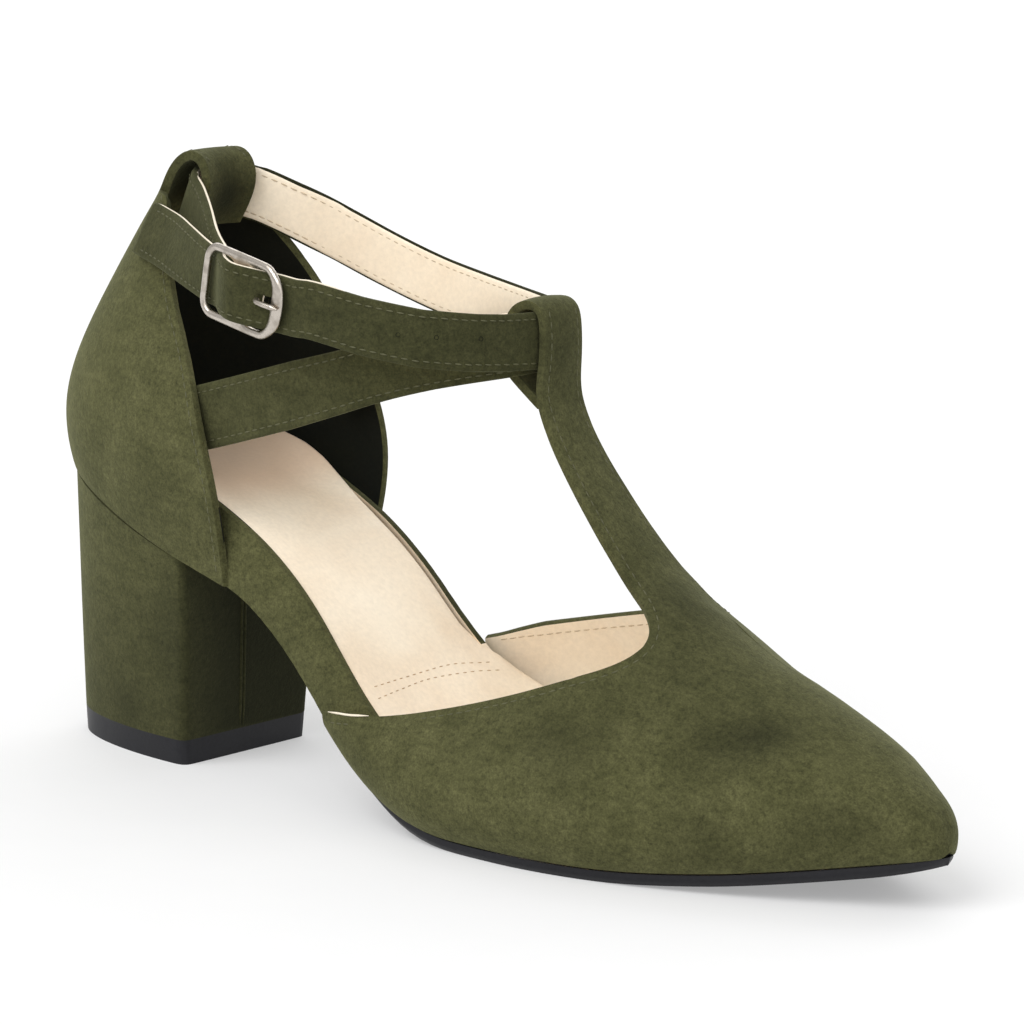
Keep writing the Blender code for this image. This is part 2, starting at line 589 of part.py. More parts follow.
def wall_object(name, grids, thick, look, settle=None):
    """A wall of even thickness behind the outer face that the grids describe."""
    outer, faces = joined(grids)
    inner = inward(outer, faces, thick)
    if settle:
        inner = settle(outer, inner)
    count = len(outer)
    sides = {}
    for face in faces:
        for n, a in enumerate(face):
            sides[(face[n - 1], a)] = face
    rim = [(b, a, a + count, b + count) for a, b in sides if (b, a) not in sides]
    back = [[c + count for c in face[::-1]] for face in faces]
    made = mesh_object(name, np.concatenate([outer, inner]), faces + back + rim, look)
    turn_outward(made)
    return made


def settle_toe(outer, inner):
    """The hollow ends short of the toe point, down on the sole."""
    near = outer[:, 0] > HOLLOW_END_X
    end = np.array([HOLLOW_TIP_X, VAMP[-1].crest_y, feather(HOLLOW_TIP_X) + HOLLOW_TIP_RISE])
    return np.where(near[:, None], end, inner)


def tube_object(name, rings, look, closed=False):
    """A solid through closed rings of points, with flat ends unless it closes on itself."""
    rings = np.asarray(rings)
    count, around = rings.shape[:2]
    faces = []
    for i in range(count if closed else count - 1):
        for j in range(around):
            a = i * around + j
            b = i * around + (j + 1) % around
            c = ((i + 1) % count) * around + (j + 1) % around
            d = ((i + 1) % count) * around + j
            faces.append((a, b, c, d))
    if not closed:
        faces.append(tuple(range(around))[::-1])
        faces.append(tuple(range((count - 1) * around, count * around)))
    made = mesh_object(name, rings.reshape(-1, 3), faces, look)
    turn_outward(made)
    return made


def turn_outward(made):
    build = bmesh.new()
    build.from_mesh(made.data)
    bmesh.ops.recalc_face_normals(build, faces=build.faces)
    build.to_mesh(made.data)
    build.free()


def helper(made):
    made.hide_render = True
    made.display_type = "WIRE"
    return made


def combine(made, other, operation):
    change = made.modifiers.new(other.name, "BOOLEAN")
    change.operation = operation
    change.solver = "EXACT"
    change.object = other


def band_rings(side):
    """Rings of the waist band on one side of the foot."""
    sign = -1.0 if side == "lat" else 1.0
    foot = by_x(WAIST_BAND, side + "_foot")
    top = by_x(WAIST_BAND, side + "_top")
    rings = []
    for x in np.linspace(WAIST_BAND[0].x, WAIST_BAND[-1].x, BAND_STATIONS):
        low = np.array([foot(x), feather(x)])
        lift = arch(x) if side == "med" else 0.0
        high = np.array([top(x), bed(x) + BAND_RIM + lift])
        middle = (low + high) / 2.0 + (sign * BAND_BULGE, 0.0)
        round_out = (sign * BAND_BULGE / 4.0, 0.0)
        outer = [low, (low + middle) / 2.0 + round_out, middle, (middle + high) / 2.0 + round_out, high]
        inner = [p - (sign * BAND_WALL, 0.0) for p in outer[::-1]]
        rings.append([(x, y, z) for y, z in outer + inner])
    return rings


def make_upper():
    upper = wall_object("upper", vamp_grids(), WALL, SUEDE, settle_toe)
    counter = helper(wall_object("counter", counter_grids(), COUNTER_WALL, SUEDE))
    combine(upper, counter, "UNION")
    for side in ("lat", "med"):
        band = helper(tube_object("waist_band_" + side, band_rings(side), SUEDE))
        combine(upper, band, "UNION")
    return upper


def make_insole():
    lat = by_row(INSOLE, "lat")
    med = by_row(INSOLE, "med")
    place = by_row(INSOLE, "x")
    rings = []
    turn = np.linspace(-1.0, 1.0, BED_COLUMNS)
    for k in np.linspace(0.0, len(INSOLE) - 1.0, BED_STATIONS):
        x = float(place(k))
        a = float(lat(k))
        b = float(med(k))
        low = float(feather(x))
        high = float(bed(x))
        deep = float(np.clip((high - low) / BED_TUCK_HIGH - 1.0, 0.0, 1.0))
        edge = min(BED_EDGE, NARROW_TUCK * (b - a))
        tuck = min(BED_TUCK * deep, NARROW_TUCK * (b - a))
        sag = BED_DISH * (1.0 - turn ** 2) - arch(x) * ((turn + 1.0) / 2.0) ** 2
        top = [(x, y, high - down) for y, down in zip(np.linspace(a + edge, b - edge, BED_COLUMNS), sag)]
        ring = [(x, a + tuck, low), (x, a, high - BED_LIP)] + top
        ring += [(x, b, high + arch(x) - BED_LIP), (x, b - tuck, low)]
        rings.append(ring + [(x, (a + b) / 2.0, low)])
    return tube_object("insole", rings, LINING)


def sole_stations():
    """Stations of the outsole with the sole edge on each side."""
    lat = by_x(WAIST_BAND, "lat_foot")
    med = by_x(WAIST_BAND, "med_foot")
    stations = [(x, lat(x), med(x)) for x in np.linspace(SOLE_BACK_X, SOLE_JOIN_X, SOLE_BACK_STATIONS)]
    for row in np.linspace(SOLE_JOIN_ROW, VAMP_TIP - SOLE_TIP_ROWS, SOLE_FRONT_STATIONS):
        stations.append((vamp["x"](row), vamp["lat_foot"](row), vamp["med_foot"](row)))
    return stations


def make_outsole():
    rings = []
    for x, lat, med in sole_stations():
        slope = (feather(x + 1.0) - feather(x - 1.0)) / 2.0
        top = feather(x) - GAP
        waist = float(np.clip((WAIST_END_X - x) / WAIST_FADE, 0.0, 1.0))
        thick = SOLE_THICK + (WAIST_THICK - SOLE_THICK) * waist
        low = max(top - thick * math.sqrt(1.0 + slope * slope), 0.0)
        inset = min(SOLE_INSET + (WAIST_INSET - SOLE_INSET) * waist, NARROW_INSET * (med - lat))
        tuck = min(SOLE_CHAMFER, NARROW_TUCK * (med - lat))
        a = lat + inset
        b = med - inset
        half = (top + low) / 2.0
        across = np.linspace(a + tuck, b - tuck, SOLE_COLUMNS)
        ring = [(x, a, top), (x, (a + b) / 2.0, top), (x, b, top), (x, b, half)]
        rings.append(ring + [(x, y, low) for y in across[::-1]] + [(x, a, half)])
    return tube_object("outsole", rings, RUBBER)


def heel_ring(block, z_of):
    angle = np.linspace(-1.0, 1.0, HEEL_COLUMNS + 1)
    turn = np.abs(angle) * math.pi / 2.0
    x = block.back + (block.breast - block.back) * (1.0 - np.cos(turn))
    wide = np.where(angle < 0.0, block.lat - HEEL_MID_Y, block.med - HEEL_MID_Y)
    y = HEEL_MID_Y + wide * np.sin(turn) ** HEEL_ROUND
    breast_y = np.linspace(block.med, block.lat, BREAST_COLUMNS + 1)[1:-1]
    x = np.concatenate([x, np.full(len(breast_y), block.breast)])
    y = np.concatenate([y, breast_y])
    return np.stack([x, y, z_of(x)], axis=1)


def make_heel():
    levels = (HEEL_LOW, HEEL_HALF, HEEL_TOP)
    shape = [by_row(levels, name) for name in Block._fields]
    last = len(levels) - 1.0
    rings = []
    for k in np.linspace(0.0, last, HEEL_ROWS):
        block = Block(*[float(level(k)) for level in shape])

        def height(x, share=k / last):
            return HEEL_LOW.z + (feather(x) - GAP - HEEL_LOW.z) * share

        rings.append(heel_ring(block, height))
    return tube_object("heel", rings, SUEDE)


def make_lift():
    tuck = LIFT_TUCK
    low = Block(0.0, HEEL_LOW.back + tuck, HEEL_LOW.breast, HEEL_LOW.lat + tuck, HEEL_LOW.med - tuck)
    rings = [heel_ring(low, np.zeros_like), heel_ring(HEEL_LOW, lambda x: np.full_like(x, LIFT_HIGH))]
    return tube_object("heel_top_piece", rings, RUBBER)


def strap_rings(table, rows, wide, thick):
    """Rings of a flat strap with broken edges along a table of places."""
    place = {name: by_row(table, name, False) for name in Way._fields}
    w = wide / 2.0
    h = thick / 2.0
    c = STRAP_CHAMFER
    half = [(-w, h - c), (c - w, h), (w - c, h), (w, h - c)]
    profile = half + [(a, -b) for a, b in half[::-1]]
    rings = []
    for k in np.linspace(0.0, len(table) - 1.0, rows + 1):
        at = np.array([place[axis](k) for axis in "xyz"])
        ahead = ahead_on(place, "xyz", k)
        up = np.array([place["lean_x"](k), place["lean_y"](k), 1.0])
        up -= ahead * (up @ ahead)
        up /= np.linalg.norm(up)
        out = np.cross(ahead, up)
        rings.append([at + up * a + out * b for a, b in profile])
    return rings


def buckle_axes():
    """Directions of the buckle: along the strap, across it, and away from the foot."""
    yaw = math.radians(BUCKLE_YAW)
    pitch = math.radians(BUCKLE_PITCH)
    level = np.array([math.cos(yaw), math.sin(yaw), 0.0])
    along = level * math.cos(pitch) - np.array([0.0, 0.0, math.sin(pitch)])
    out = np.array([math.sin(yaw), -math.cos(yaw), 0.0])
    return along, np.cross(along, out), out


def in_buckle(along, across, out):
    x, y, z = buckle_axes()
    return BUCKLE_MIDDLE + x * along + y * across + z * out


def make_straps():
    ankle = tube_object("ankle_strap", strap_rings(ANKLE, ANKLE_ROWS, STRAP_WIDE, STRAP_THICK), SUEDE)
    tube_object("cross_strap", strap_rings(CROSS, CROSS_ROWS, CROSS_WIDE, CROSS_THICK), SUEDE)
    corners = []
    for along in (SLOT_START, SLOT_START + SLOT_LONG):
        for across, out in ((-1, -1), (1, -1), (1, 1), (-1, 1)):
            corners.append(in_buckle(along, across * SLOT_HIGH / 2.0, out * SLOT_DEEP / 2.0))
    slot = helper(tube_object("prong_slot", [corners[:4], corners[4:]], SUEDE))
    combine(ankle, slot, "DIFFERENCE")


def round_profile(at, first, second, radius, sides):
    turns = np.arange(sides) * 2.0 * math.pi / sides
    return [at + first * radius * math.cos(turn) + second * radius * math.sin(turn) for turn in turns]


def frame_path(points):
    """Middle line of the buckle's rounded frame with the outward direction at each point."""
    long_half = (BUCKLE_LONG - BUCKLE_BAND) / 2.0
    high_half = (BUCKLE_HIGH - BUCKLE_BAND) / 2.0
    path = []
    for quarter in range(4):
        in_front = quarter in (0, 3)
        corner = (BUCKLE_FRONT_CORNER if in_front else BUCKLE_BACK_CORNER) - BUCKLE_BAND / 2.0
        sx = 1.0 if in_front else -1.0
        sy = 1.0 if quarter in (0, 1) else -1.0
        for turn in np.linspace(0.0, math.pi / 2.0, points):
            angle = turn + quarter * math.pi / 2.0
            away = np.array([math.cos(angle), math.sin(angle)])
            centre = np.array([sx * (long_half - corner), sy * (high_half - corner)])
            path.append((centre + corner * away, away))
    return path


def make_buckle():
    x, y, z = buckle_axes()
    rings = []
    for place, away in frame_path(FRAME_CORNER_POINTS):
        at = in_buckle(place[0], place[1], 0.0)
        band = BUCKLE_BAND + (BUCKLE_FRONT_BAND - BUCKLE_BAND) * max(0.0, away[0]) ** 2
        side = (x * away[0] + y * away[1]) * band / 2.0
        rings.append(round_profile(at, side, z * BUCKLE_THICK / 2.0, 1.0, FRAME_SIDES))
    frame = tube_object("buckle_frame", rings, NICKEL, closed=True)
    reach = (BUCKLE_HIGH - BUCKLE_BAND) / 2.0
    ends = [in_buckle(0.0, side, 0.0) for side in (-reach, reach)]
    bar_rings = [round_profile(end, x, z, CENTRE_BAR_RADIUS, CENTRE_BAR_SIDES) for end in ends]
    bar = helper(tube_object("centre_bar", bar_rings, NICKEL))
    combine(frame, bar, "UNION")

    turns = np.radians(np.linspace(PRONG_HOOK_START, PRONG_HOOK_END, PRONG_HOOK_POINTS))
    line = [Reach(PRONG_HOOK * math.cos(turn), PRONG_HOOK * math.sin(turn)) for turn in turns] + PRONG
    place = {name: by_row(line, name, False) for name in Reach._fields}
    rings = []
    for k in np.linspace(0.0, len(line) - 1.0, PRONG_ROWS):
        ahead = ahead_on(place, Reach._fields, k)
        at = in_buckle(place["along"](k), 0.0, place["out"](k))
        rings.append(round_profile(at, y, z * ahead[0] - x * ahead[1], PRONG_RADIUS, PRONG_SIDES))
    tube_object("buckle_prong", rings, NICKEL)


def main():
    for old in list(bpy.data.objects):
        bpy.data.objects.remove(old)
    make_upper()
    make_insole()
    make_outsole()
    make_heel()
    make_lift()
    make_straps()
    make_buckle()


main()
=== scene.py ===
"""Looks of the strap heeled shoe: olive suede, beige lining, black sole and a pale nickel buckle.

Places are in millimetres from the back of the heel towards the toe (x), from the outer to the inner side of the
foot (y) and up from the floor (z); they are turned into the frame's metres when a mesh is made.
"""

import heapq
import logging
import math
from dataclasses import dataclass, field
from enum import Enum

import bmesh
import bpy
import numpy as np
from mathutils import Matrix, Vector
from mathutils.bvhtree import BVHTree


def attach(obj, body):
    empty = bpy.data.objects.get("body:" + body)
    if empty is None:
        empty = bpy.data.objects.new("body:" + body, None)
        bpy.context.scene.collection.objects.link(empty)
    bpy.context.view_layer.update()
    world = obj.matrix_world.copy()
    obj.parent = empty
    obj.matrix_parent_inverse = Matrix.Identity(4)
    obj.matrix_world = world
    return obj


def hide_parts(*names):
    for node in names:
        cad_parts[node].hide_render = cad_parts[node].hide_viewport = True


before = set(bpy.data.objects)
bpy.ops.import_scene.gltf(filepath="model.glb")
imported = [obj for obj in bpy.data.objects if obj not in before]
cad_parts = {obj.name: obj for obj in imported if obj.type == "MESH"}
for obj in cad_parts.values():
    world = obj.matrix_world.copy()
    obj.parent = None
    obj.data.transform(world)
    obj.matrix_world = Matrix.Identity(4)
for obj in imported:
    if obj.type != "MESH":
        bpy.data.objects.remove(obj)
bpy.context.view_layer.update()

MM = 0.001
FOOT_MIDDLE = np.array([123.1, -0.3, 0.0])
BODY = "root"
PHOTO_SIDE = 1024
# Mesh attribute that darkens the suede and lining above zero and lightens the suede below zero: brushed nap, painted
# shade and painted highlight
NAP_AND_SHADE = "nap_and_shade"

# Settings of the helpers: turns are in degrees, the gap is in metres and the rest are counts and shares
SPAN_POINTS = 24
SHORTEST_STRETCH = 3
SEARCH_ROWS = 2000
MERGE_GAP = 2e-6
QUAD_FLAT = 25.0
QUAD_SQUARE = 50.0
SMOOTH_TURN = 50.0
CORNER_TURN = 50.0
CORNER_UPRIGHT = 0.8
CORNER_SEGMENTS = 4
ROD_TIP = 0.25

LOG = logging.getLogger("shoe")

Rgb = tuple[float, float, float]
Point = tuple[float, float, float]
Pair = tuple[float, float]
Table = tuple[tuple[float, ...], tuple[float, ...]]


class Slot(Enum):
    """Material slots of the record."""

    SUEDE = "suede"
    LINING = "lining"
    SOLE = "sole"
    BUCKLE = "buckle"


class Face(Enum):
    """Side of the leather that a row of stitches lies on, as a share of the way inwards."""

    OUTSIDE = -1.0
    INSIDE = 1.0


class Run(Enum):
    """Way that a strap's path goes, as the sign that makes its side direction point at the foot."""

    ROUND_THE_HEEL = 1.0
    ROUND_THE_INSTEP = -1.0


def to_frame(places: np.ndarray) -> np.ndarray:
    """Turns places in millimetres into the frame's metres."""
    return (np.asarray(places, float) - FOOT_MIDDLE) * MM


def to_shoe(points: np.ndarray) -> np.ndarray:
    """Turns points of the frame into places in millimetres."""
    return np.asarray(points, float) / MM + FOOT_MIDDLE


def take(piece: bpy.types.Object) -> None:
    """Makes a piece the only selected and the active one.

    Args:
        piece: object of the scene.
    """
    bpy.ops.object.select_all(action="DESELECT")
    piece.select_set(True)
    bpy.context.view_layer.objects.active = piece


def vertex_places(piece: bpy.types.Object) -> np.ndarray:
    """Places of a piece's vertices.

    Args:
        piece: mesh object at the origin.

    Returns:
        One row of millimetres for each vertex.
    """
    flat = np.empty(len(piece.data.vertices) * 3, np.float32)
    piece.data.vertices.foreach_get("co", flat)
    return to_shoe(flat.reshape(-1, 3))


def set_places(piece: bpy.types.Object, places: np.ndarray) -> None:
    """Moves a piece's vertices to places in millimetres."""
    piece.data.vertices.foreach_set("co", to_frame(places).astype(np.float32).ravel())
    piece.data.update()


def face_places(piece: bpy.types.Object) -> tuple[np.ndarray, np.ndarray]:
    """Middles and normals of a piece's faces.

    Args:
        piece: mesh object at the origin.

    Returns:
        Middles in millimetres and unit normals, a row for each face.
    """
    count = len(piece.data.polygons)
    middles = np.empty(count * 3, np.float32)
    normals = np.empty(count * 3, np.float32)
    piece.data.polygons.foreach_get("center", middles)
    piece.data.polygons.foreach_get("normal", normals)
    return to_shoe(middles.reshape(-1, 3)), normals.reshape(-1, 3).astype(float)


def through(points: list[tuple] | np.ndarray, step: float) -> np.ndarray:
    """Evenly spaced rows on a smooth line through rows of numbers.

    Args:
        points: rows that the line runs through; the first three numbers are a place in millimetres.
        step: distance between the places returned, in millimetres.

    Returns:
        One row for each place on the line.
    """
    knots = np.asarray(points, float)
    padded = np.concatenate([2 * knots[:1] - knots[1:2], knots, 2 * knots[-1:] - knots[-2:-1]])
    fine = []
    for i in range(len(knots) - 1):
        before, start, end, after = padded[i : i + 4]
        for t in np.linspace(0.0, 1.0, SPAN_POINTS, endpoint=False):
            bend = 2 * before - 5 * start + 4 * end - after
            twist = 3 * start - before - 3 * end + after
            fine.append(0.5 * (2 * start + (end - before) * t + bend * t**2 + twist * t**3))
    line = np.array([*fine, knots[-1]])
    run = np.concatenate([[0.0], np.cumsum(np.linalg.norm(np.diff(line[:, :3], axis=0), axis=1))])
    stops = np.linspace(0.0, run[-1], max(2, round(run[-1] / step) + 1))
    return np.stack([np.interp(stops, run, line[:, axis]) for axis in range(knots.shape[1])], axis=1)


def unit(rows: np.ndarray) -> np.ndarray:
    """Rows of numbers scaled to length one."""
    return rows / np.linalg.norm(rows, axis=1, keepdims=True)


class Shading:
    """Builder for one material's nodes."""

    def __init__(self, name: str) -> None:
        """Starts a material with its Principled shader.

        Args:
            name: the material's name.
        """
        self.material = bpy.data.materials.new(name)
        self.material.use_nodes = True
        self.tree = self.material.node_tree
        self.shader = self.tree.nodes["Principled BSDF"]
        self.coords = self.tree.nodes.new("ShaderNodeTexCoord").outputs["Object"]

    def constant(self, **sockets: float | tuple) -> None:
        """Sets values that are the same all over on the shader's own sockets."""
        for name, value in sockets.items():
            self.shader.inputs[name.replace("_", " ")].default_value = value

    def drive(self, name: str, source: bpy.types.NodeSocket) -> None:
        """Links a socket of the shader to a varying value."""
        self.tree.links.new(source, self.shader.inputs[name])

    def stretched(self, scale: Point, turn: Point = (0.0, 0.0, 0.0)) -> bpy.types.NodeSocket:
        """Stretches the object coordinates.

        Args:
            scale: factor along each axis.
            turn: degrees about each axis.

        Returns:
            The coordinates.
        """
        node = self.tree.nodes.new("ShaderNodeMapping")
        node.inputs["Scale"].default_value = scale
        node.inputs["Rotation"].default_value = [math.radians(angle) for angle in turn]
        self.tree.links.new(self.coords, node.inputs["Vector"])
        return node.outputs["Vector"]

    def noise(
        self,
        scale: float,
        detail: float = 2.0,
        rough: float = 0.5,
        bend: float = 0.0,
        coords: bpy.types.NodeSocket | None = None,
    ) -> bpy.types.NodeSocket:
        """Adds a noise texture.

        Args:
            scale: cells in a metre.
            detail: octaves.
            rough: share that each octave keeps.
            bend: distortion.
            coords: coordinates other than the object's own.

        Returns:
            The noise value, from 0 to 1.
        """
        node = self.tree.nodes.new("ShaderNodeTexNoise")
        node.inputs["Scale"].default_value = scale
        node.inputs["Detail"].default_value = detail
        node.inputs["Roughness"].default_value = rough
        node.inputs["Distortion"].default_value = bend
        self.tree.links.new(coords or self.coords, node.inputs["Vector"])
        return node.outputs["Fac"]

    def attribute(self, name: str) -> bpy.types.NodeSocket:
        """Reads an attribute of the mesh.

        Args:
            name: the attribute's name.

        Returns:
            Its value.
        """
        node = self.tree.nodes.new("ShaderNodeAttribute")
        node.attribute_name = name
        return node.outputs["Fac"]

    def ramp(self, value: bpy.types.NodeSocket, stops: list[tuple[float, Rgb]]) -> bpy.types.NodeSocket:
        """Colours along a value.

        Args:
            value: what picks the colour.
            stops: places from 0 to 1 with their colours.

        Returns:
            The colour.
        """
        node = self.tree.nodes.new("ShaderNodeValToRGB")
        ramp = node.color_ramp
        while len(ramp.elements) < len(stops):
            ramp.elements.new(0.5)
        for element, (place, colour) in zip(ramp.elements, stops):
            element.position = place
            element.color = (*colour, 1.0)
        self.tree.links.new(value, node.inputs["Fac"])
        return node.outputs["Color"]

    def span(
        self, value: bpy.types.NodeSocket, low: float, high: float, start: float = 0.3, end: float = 0.7
    ) -> bpy.types.NodeSocket:
        """Spreads the middle of a value between two numbers.

        Args:
            value: what is spread.
            low: result at the start.
            high: result at the end.
            start: value that the spread begins at.
            end: value that the spread ends at.

        Returns:
            The spread value.
        """
        node = self.tree.nodes.new("ShaderNodeMapRange")
        node.inputs["From Min"].default_value = start
        node.inputs["From Max"].default_value = end
        node.inputs["To Min"].default_value = low
        node.inputs["To Max"].default_value = high
        self.tree.links.new(value, node.inputs["Value"])
        return node.outputs["Result"]

    def sum(self, *parts: tuple[bpy.types.NodeSocket, float]) -> bpy.types.NodeSocket:
        """Adds values.

        Args:
            parts: each value with its share.

        Returns:
            The total.
        """
        total = None
        for value, share in parts:
            node = self.tree.nodes.new("ShaderNodeMath")
            node.operation = "MULTIPLY_ADD"
            node.inputs[1].default_value = share
            self.tree.links.new(value, node.inputs[0])
            if total is None:
                node.inputs[2].default_value = 0.0
            else:
                self.tree.links.new(total, node.inputs[2])
            total = node.outputs["Value"]
        return total

    def mix(self, share: bpy.types.NodeSocket, first: bpy.types.NodeSocket, second: Rgb) -> bpy.types.NodeSocket:
        """Goes from a varying colour to a fixed one.

        Args:
            share: how far it goes, from 0 to 1.
            first: the varying colour.
            second: the fixed colour.

        Returns:
            The mixed colour.
        """
        node = self.tree.nodes.new("ShaderNodeMix")
        node.data_type = "RGBA"
        self.tree.links.new(share, node.inputs["Factor"])
        self.tree.links.new(first, node.inputs[6])
        node.inputs[7].default_value = (*second, 1.0)
        return node.outputs[2]

    def brighten(self, colour: bpy.types.NodeSocket, value: bpy.types.NodeSocket) -> bpy.types.NodeSocket:
        """Multiplies a colour's brightness.

        Args:
            colour: the colour.
            value: the factor.

        Returns:
            The brightened colour.
        """
        node = self.tree.nodes.new("ShaderNodeHueSaturation")
        self.tree.links.new(colour, node.inputs["Color"])
        self.tree.links.new(value, node.inputs["Value"])
        return node.outputs["Color"]

    def relief(self, *layers: tuple[bpy.types.NodeSocket, float, float]) -> None:
        """Adds bump layers to the shader.

        Args:
            layers: height, strength and depth in metres of each layer, coarse ones first.
        """
        normal = None
        for height, strength, depth in layers:
            node = self.tree.nodes.new("ShaderNodeBump")
            node.inputs["Strength"].default_value = strength
            node.inputs["Distance"].default_value = depth
            self.tree.links.new(height, node.inputs["Height"])
            if normal is not None:
                self.tree.links.new(normal, node.inputs["Normal"])
            normal = node.outputs["Normal"]
        self.drive("Normal", normal)


@dataclass(frozen=True)
class SuedeFinish:
    """Napped olive suede, with patches of brushed nap, painted shade and painted highlight."""

    name: str = "olive_suede"
    deep: Rgb = (0.050, 0.051, 0.0195)
    body: Rgb = (0.069, 0.069, 0.0275)
    raised: Rgb = (0.091, 0.090, 0.0375)
    # darkest colour, reached by pressed nap and by painted shade
    pressed_and_shaded: Rgb = (0.009, 0.010, 0.004)
    # lightest colour, reached by brushed nap and by painted highlight
    brushed_and_lit: Rgb = (0.140, 0.138, 0.060)
    sheen_tint: tuple = (0.62, 0.64, 0.36, 1.0)
    patch_scale: float = 30.0
    mottle_scale: float = 150.0
    streak_scale: Point = (90.0, 340.0, 340.0)
    streak_turn: Point = (0.0, 20.0, 12.0)
    fibre_scale: float = 900.0
    fluff_scale: float = 2400.0
    tone_shares: tuple[float, ...] = (0.26, 0.40, 0.34)
    tone_stops: tuple[float, ...] = (0.36, 0.50, 0.64)
    lint_shares: Pair = (0.55, 0.45)
    lint_light: Pair = (0.46, 1.54)
    mottle_relief: Pair = (0.10, 0.0006)
    fibre_relief: Pair = (0.55, 0.00030)
    fluff_relief: Pair = (0.45, 0.00014)
    rough: float = 0.97
    sheen: float = 0.20
    sheen_rough: float = 0.45
    gloss: float = 0.15

    def material(self) -> bpy.types.Material:
        """Makes the material.

        Returns:
            The suede, darker where the mesh's nap_and_shade attribute is above zero and lighter where it is below:
            brushed nap, painted shade and painted highlight.
        """
        look = Shading(self.name)
        patch = look.noise(self.patch_scale, detail=2.0, rough=0.5, bend=0.8)
        mottle = look.noise(self.mottle_scale, detail=4.0, rough=0.62, bend=0.4)
        brushing = look.stretched(self.streak_scale, self.streak_turn)
        streak = look.noise(1.0, detail=3.0, rough=0.6, bend=0.6, coords=brushing)
        fibre = look.noise(self.fibre_scale, detail=3.0, rough=0.7)
        fluff = look.noise(self.fluff_scale, detail=2.0, rough=0.6)
        nap_and_shade = look.attribute(NAP_AND_SHADE)
        tone = look.sum(*zip((patch, mottle, streak), self.tone_shares))
        colour = look.ramp(tone, list(zip(self.tone_stops, (self.deep, self.body, self.raised))))
        lint = look.sum(*zip((fibre, fluff), self.lint_shares))
        colour = look.brighten(colour, look.span(lint, *self.lint_light))
        # painted shade and darker nap go towards the darkest colour, painted highlight and lighter nap towards the
        # lightest
        colour = look.mix(nap_and_shade, colour, self.pressed_and_shaded)
        look.drive("Base Color", look.mix(look.sum((nap_and_shade, -1.0)), colour, self.brushed_and_lit))
        look.relief((mottle, *self.mottle_relief), (fibre, *self.fibre_relief), (fluff, *self.fluff_relief))
        look.constant(Roughness=self.rough, Specular_IOR_Level=self.gloss)
        look.constant(Sheen_Weight=self.sheen, Sheen_Roughness=self.sheen_rough, Sheen_Tint=self.sheen_tint)
        return look.material


@dataclass(frozen=True)
class LiningFinish:
    """Smooth beige lining leather with a faint grain."""

    name: str = "beige_lining"
    low: Rgb = (0.87, 0.730, 0.555)
    body: Rgb = (0.925, 0.805, 0.635)
    high: Rgb = (0.96, 0.86, 0.70)
    # darker tan of the painted shade on the heel seat
    worn_and_shaded: Rgb = (0.88, 0.61, 0.43)
    cloud_scale: float = 34.0
    cloud_stops: tuple[float, ...] = (0.32, 0.5, 0.68)
    cloud_relief: Pair = (0.10, 0.0008)
    grain_scale: float = 900.0
    grain_light: Pair = (0.95, 1.05)
    grain_relief: Pair = (0.16, 0.00012)
    rough: Pair = (0.46, 0.6)
    gloss: float = 0.35
    sheen: float = 0.06

    def material(self) -> bpy.types.Material:
        """Makes the material.

        Returns:
            The lining leather, turned towards a darker tan where the mesh's nap_and_shade attribute is above zero:
            painted shade, mostly on the heel seat.
        """
        look = Shading(self.name)
        cloud = look.noise(self.cloud_scale, detail=3.0, rough=0.5, bend=0.4)
        grain = look.noise(self.grain_scale, detail=3.0, rough=0.6)
        colour = look.ramp(cloud, list(zip(self.cloud_stops, (self.low, self.body, self.high))))
        colour = look.brighten(colour, look.span(grain, *self.grain_light))
        look.drive("Base Color", look.mix(look.attribute(NAP_AND_SHADE), colour, self.worn_and_shaded))
        look.drive("Roughness", look.span(cloud, *self.rough))
        look.relief((cloud, *self.cloud_relief), (grain, *self.grain_relief))
        look.constant(Specular_IOR_Level=self.gloss, Sheen_Weight=self.sheen)
        return look.material


@dataclass(frozen=True)
class PlainFinish:
    """Even leather or rubber with a fine surface."""

    name: str
    body: Rgb
    other: Rgb
    rough: Pair
    scale: float
    depth: float = 0.0001
    gloss: float = 0.4
    glow: float = 0.0
    cloud_share: float = 0.06
    stops: Pair = (0.35, 0.65)
    relief: float = 0.3

    def material(self) -> bpy.types.Material:
        """Makes the material.

        Returns:
            The material with fine noise in its colour, roughness and relief.
        """
        look = Shading(self.name)
        grain = look.noise(self.scale, detail=3.0, rough=0.6)
        cloud = look.noise(self.scale * self.cloud_share, detail=2.0, rough=0.5)
        tone = look.sum((grain, 0.5), (cloud, 0.5))
        look.drive("Base Color", look.ramp(tone, list(zip(self.stops, (self.body, self.other)))))
        look.drive("Roughness", look.span(cloud, *self.rough))
        look.relief((grain, self.relief, self.depth))
        look.constant(Specular_IOR_Level=self.gloss)
        if self.glow:
            look.constant(Emission_Color=(1.0, 1.0, 1.0, 1.0), Emission_Strength=self.glow)
        return look.material


@dataclass(frozen=True)
class NickelFinish:
    """Bright nickel with fine wear."""

    name: str = "pale_nickel"
    body: Rgb = (0.56, 0.51, 0.45)
    worn_and_shaded: Rgb = (0.38, 0.34, 0.29)
    wear_scale: float = 420.0
    stops: Pair = (0.42, 0.7)
    rough: Pair = (0.22, 0.40)
    relief: Pair = (0.08, 0.0001)

    def material(self) -> bpy.types.Material:
        """Makes the material.

        Returns:
            The metal.
        """
        look = Shading(self.name)
        wear = look.noise(self.wear_scale, detail=4.0, rough=0.6)
        look.drive("Base Color", look.ramp(wear, list(zip(self.stops, (self.body, self.worn_and_shaded)))))
        look.drive("Roughness", look.span(wear, *self.rough))
        look.relief((wear, *self.relief))
        look.constant(Metallic=1.0)
        return look.material


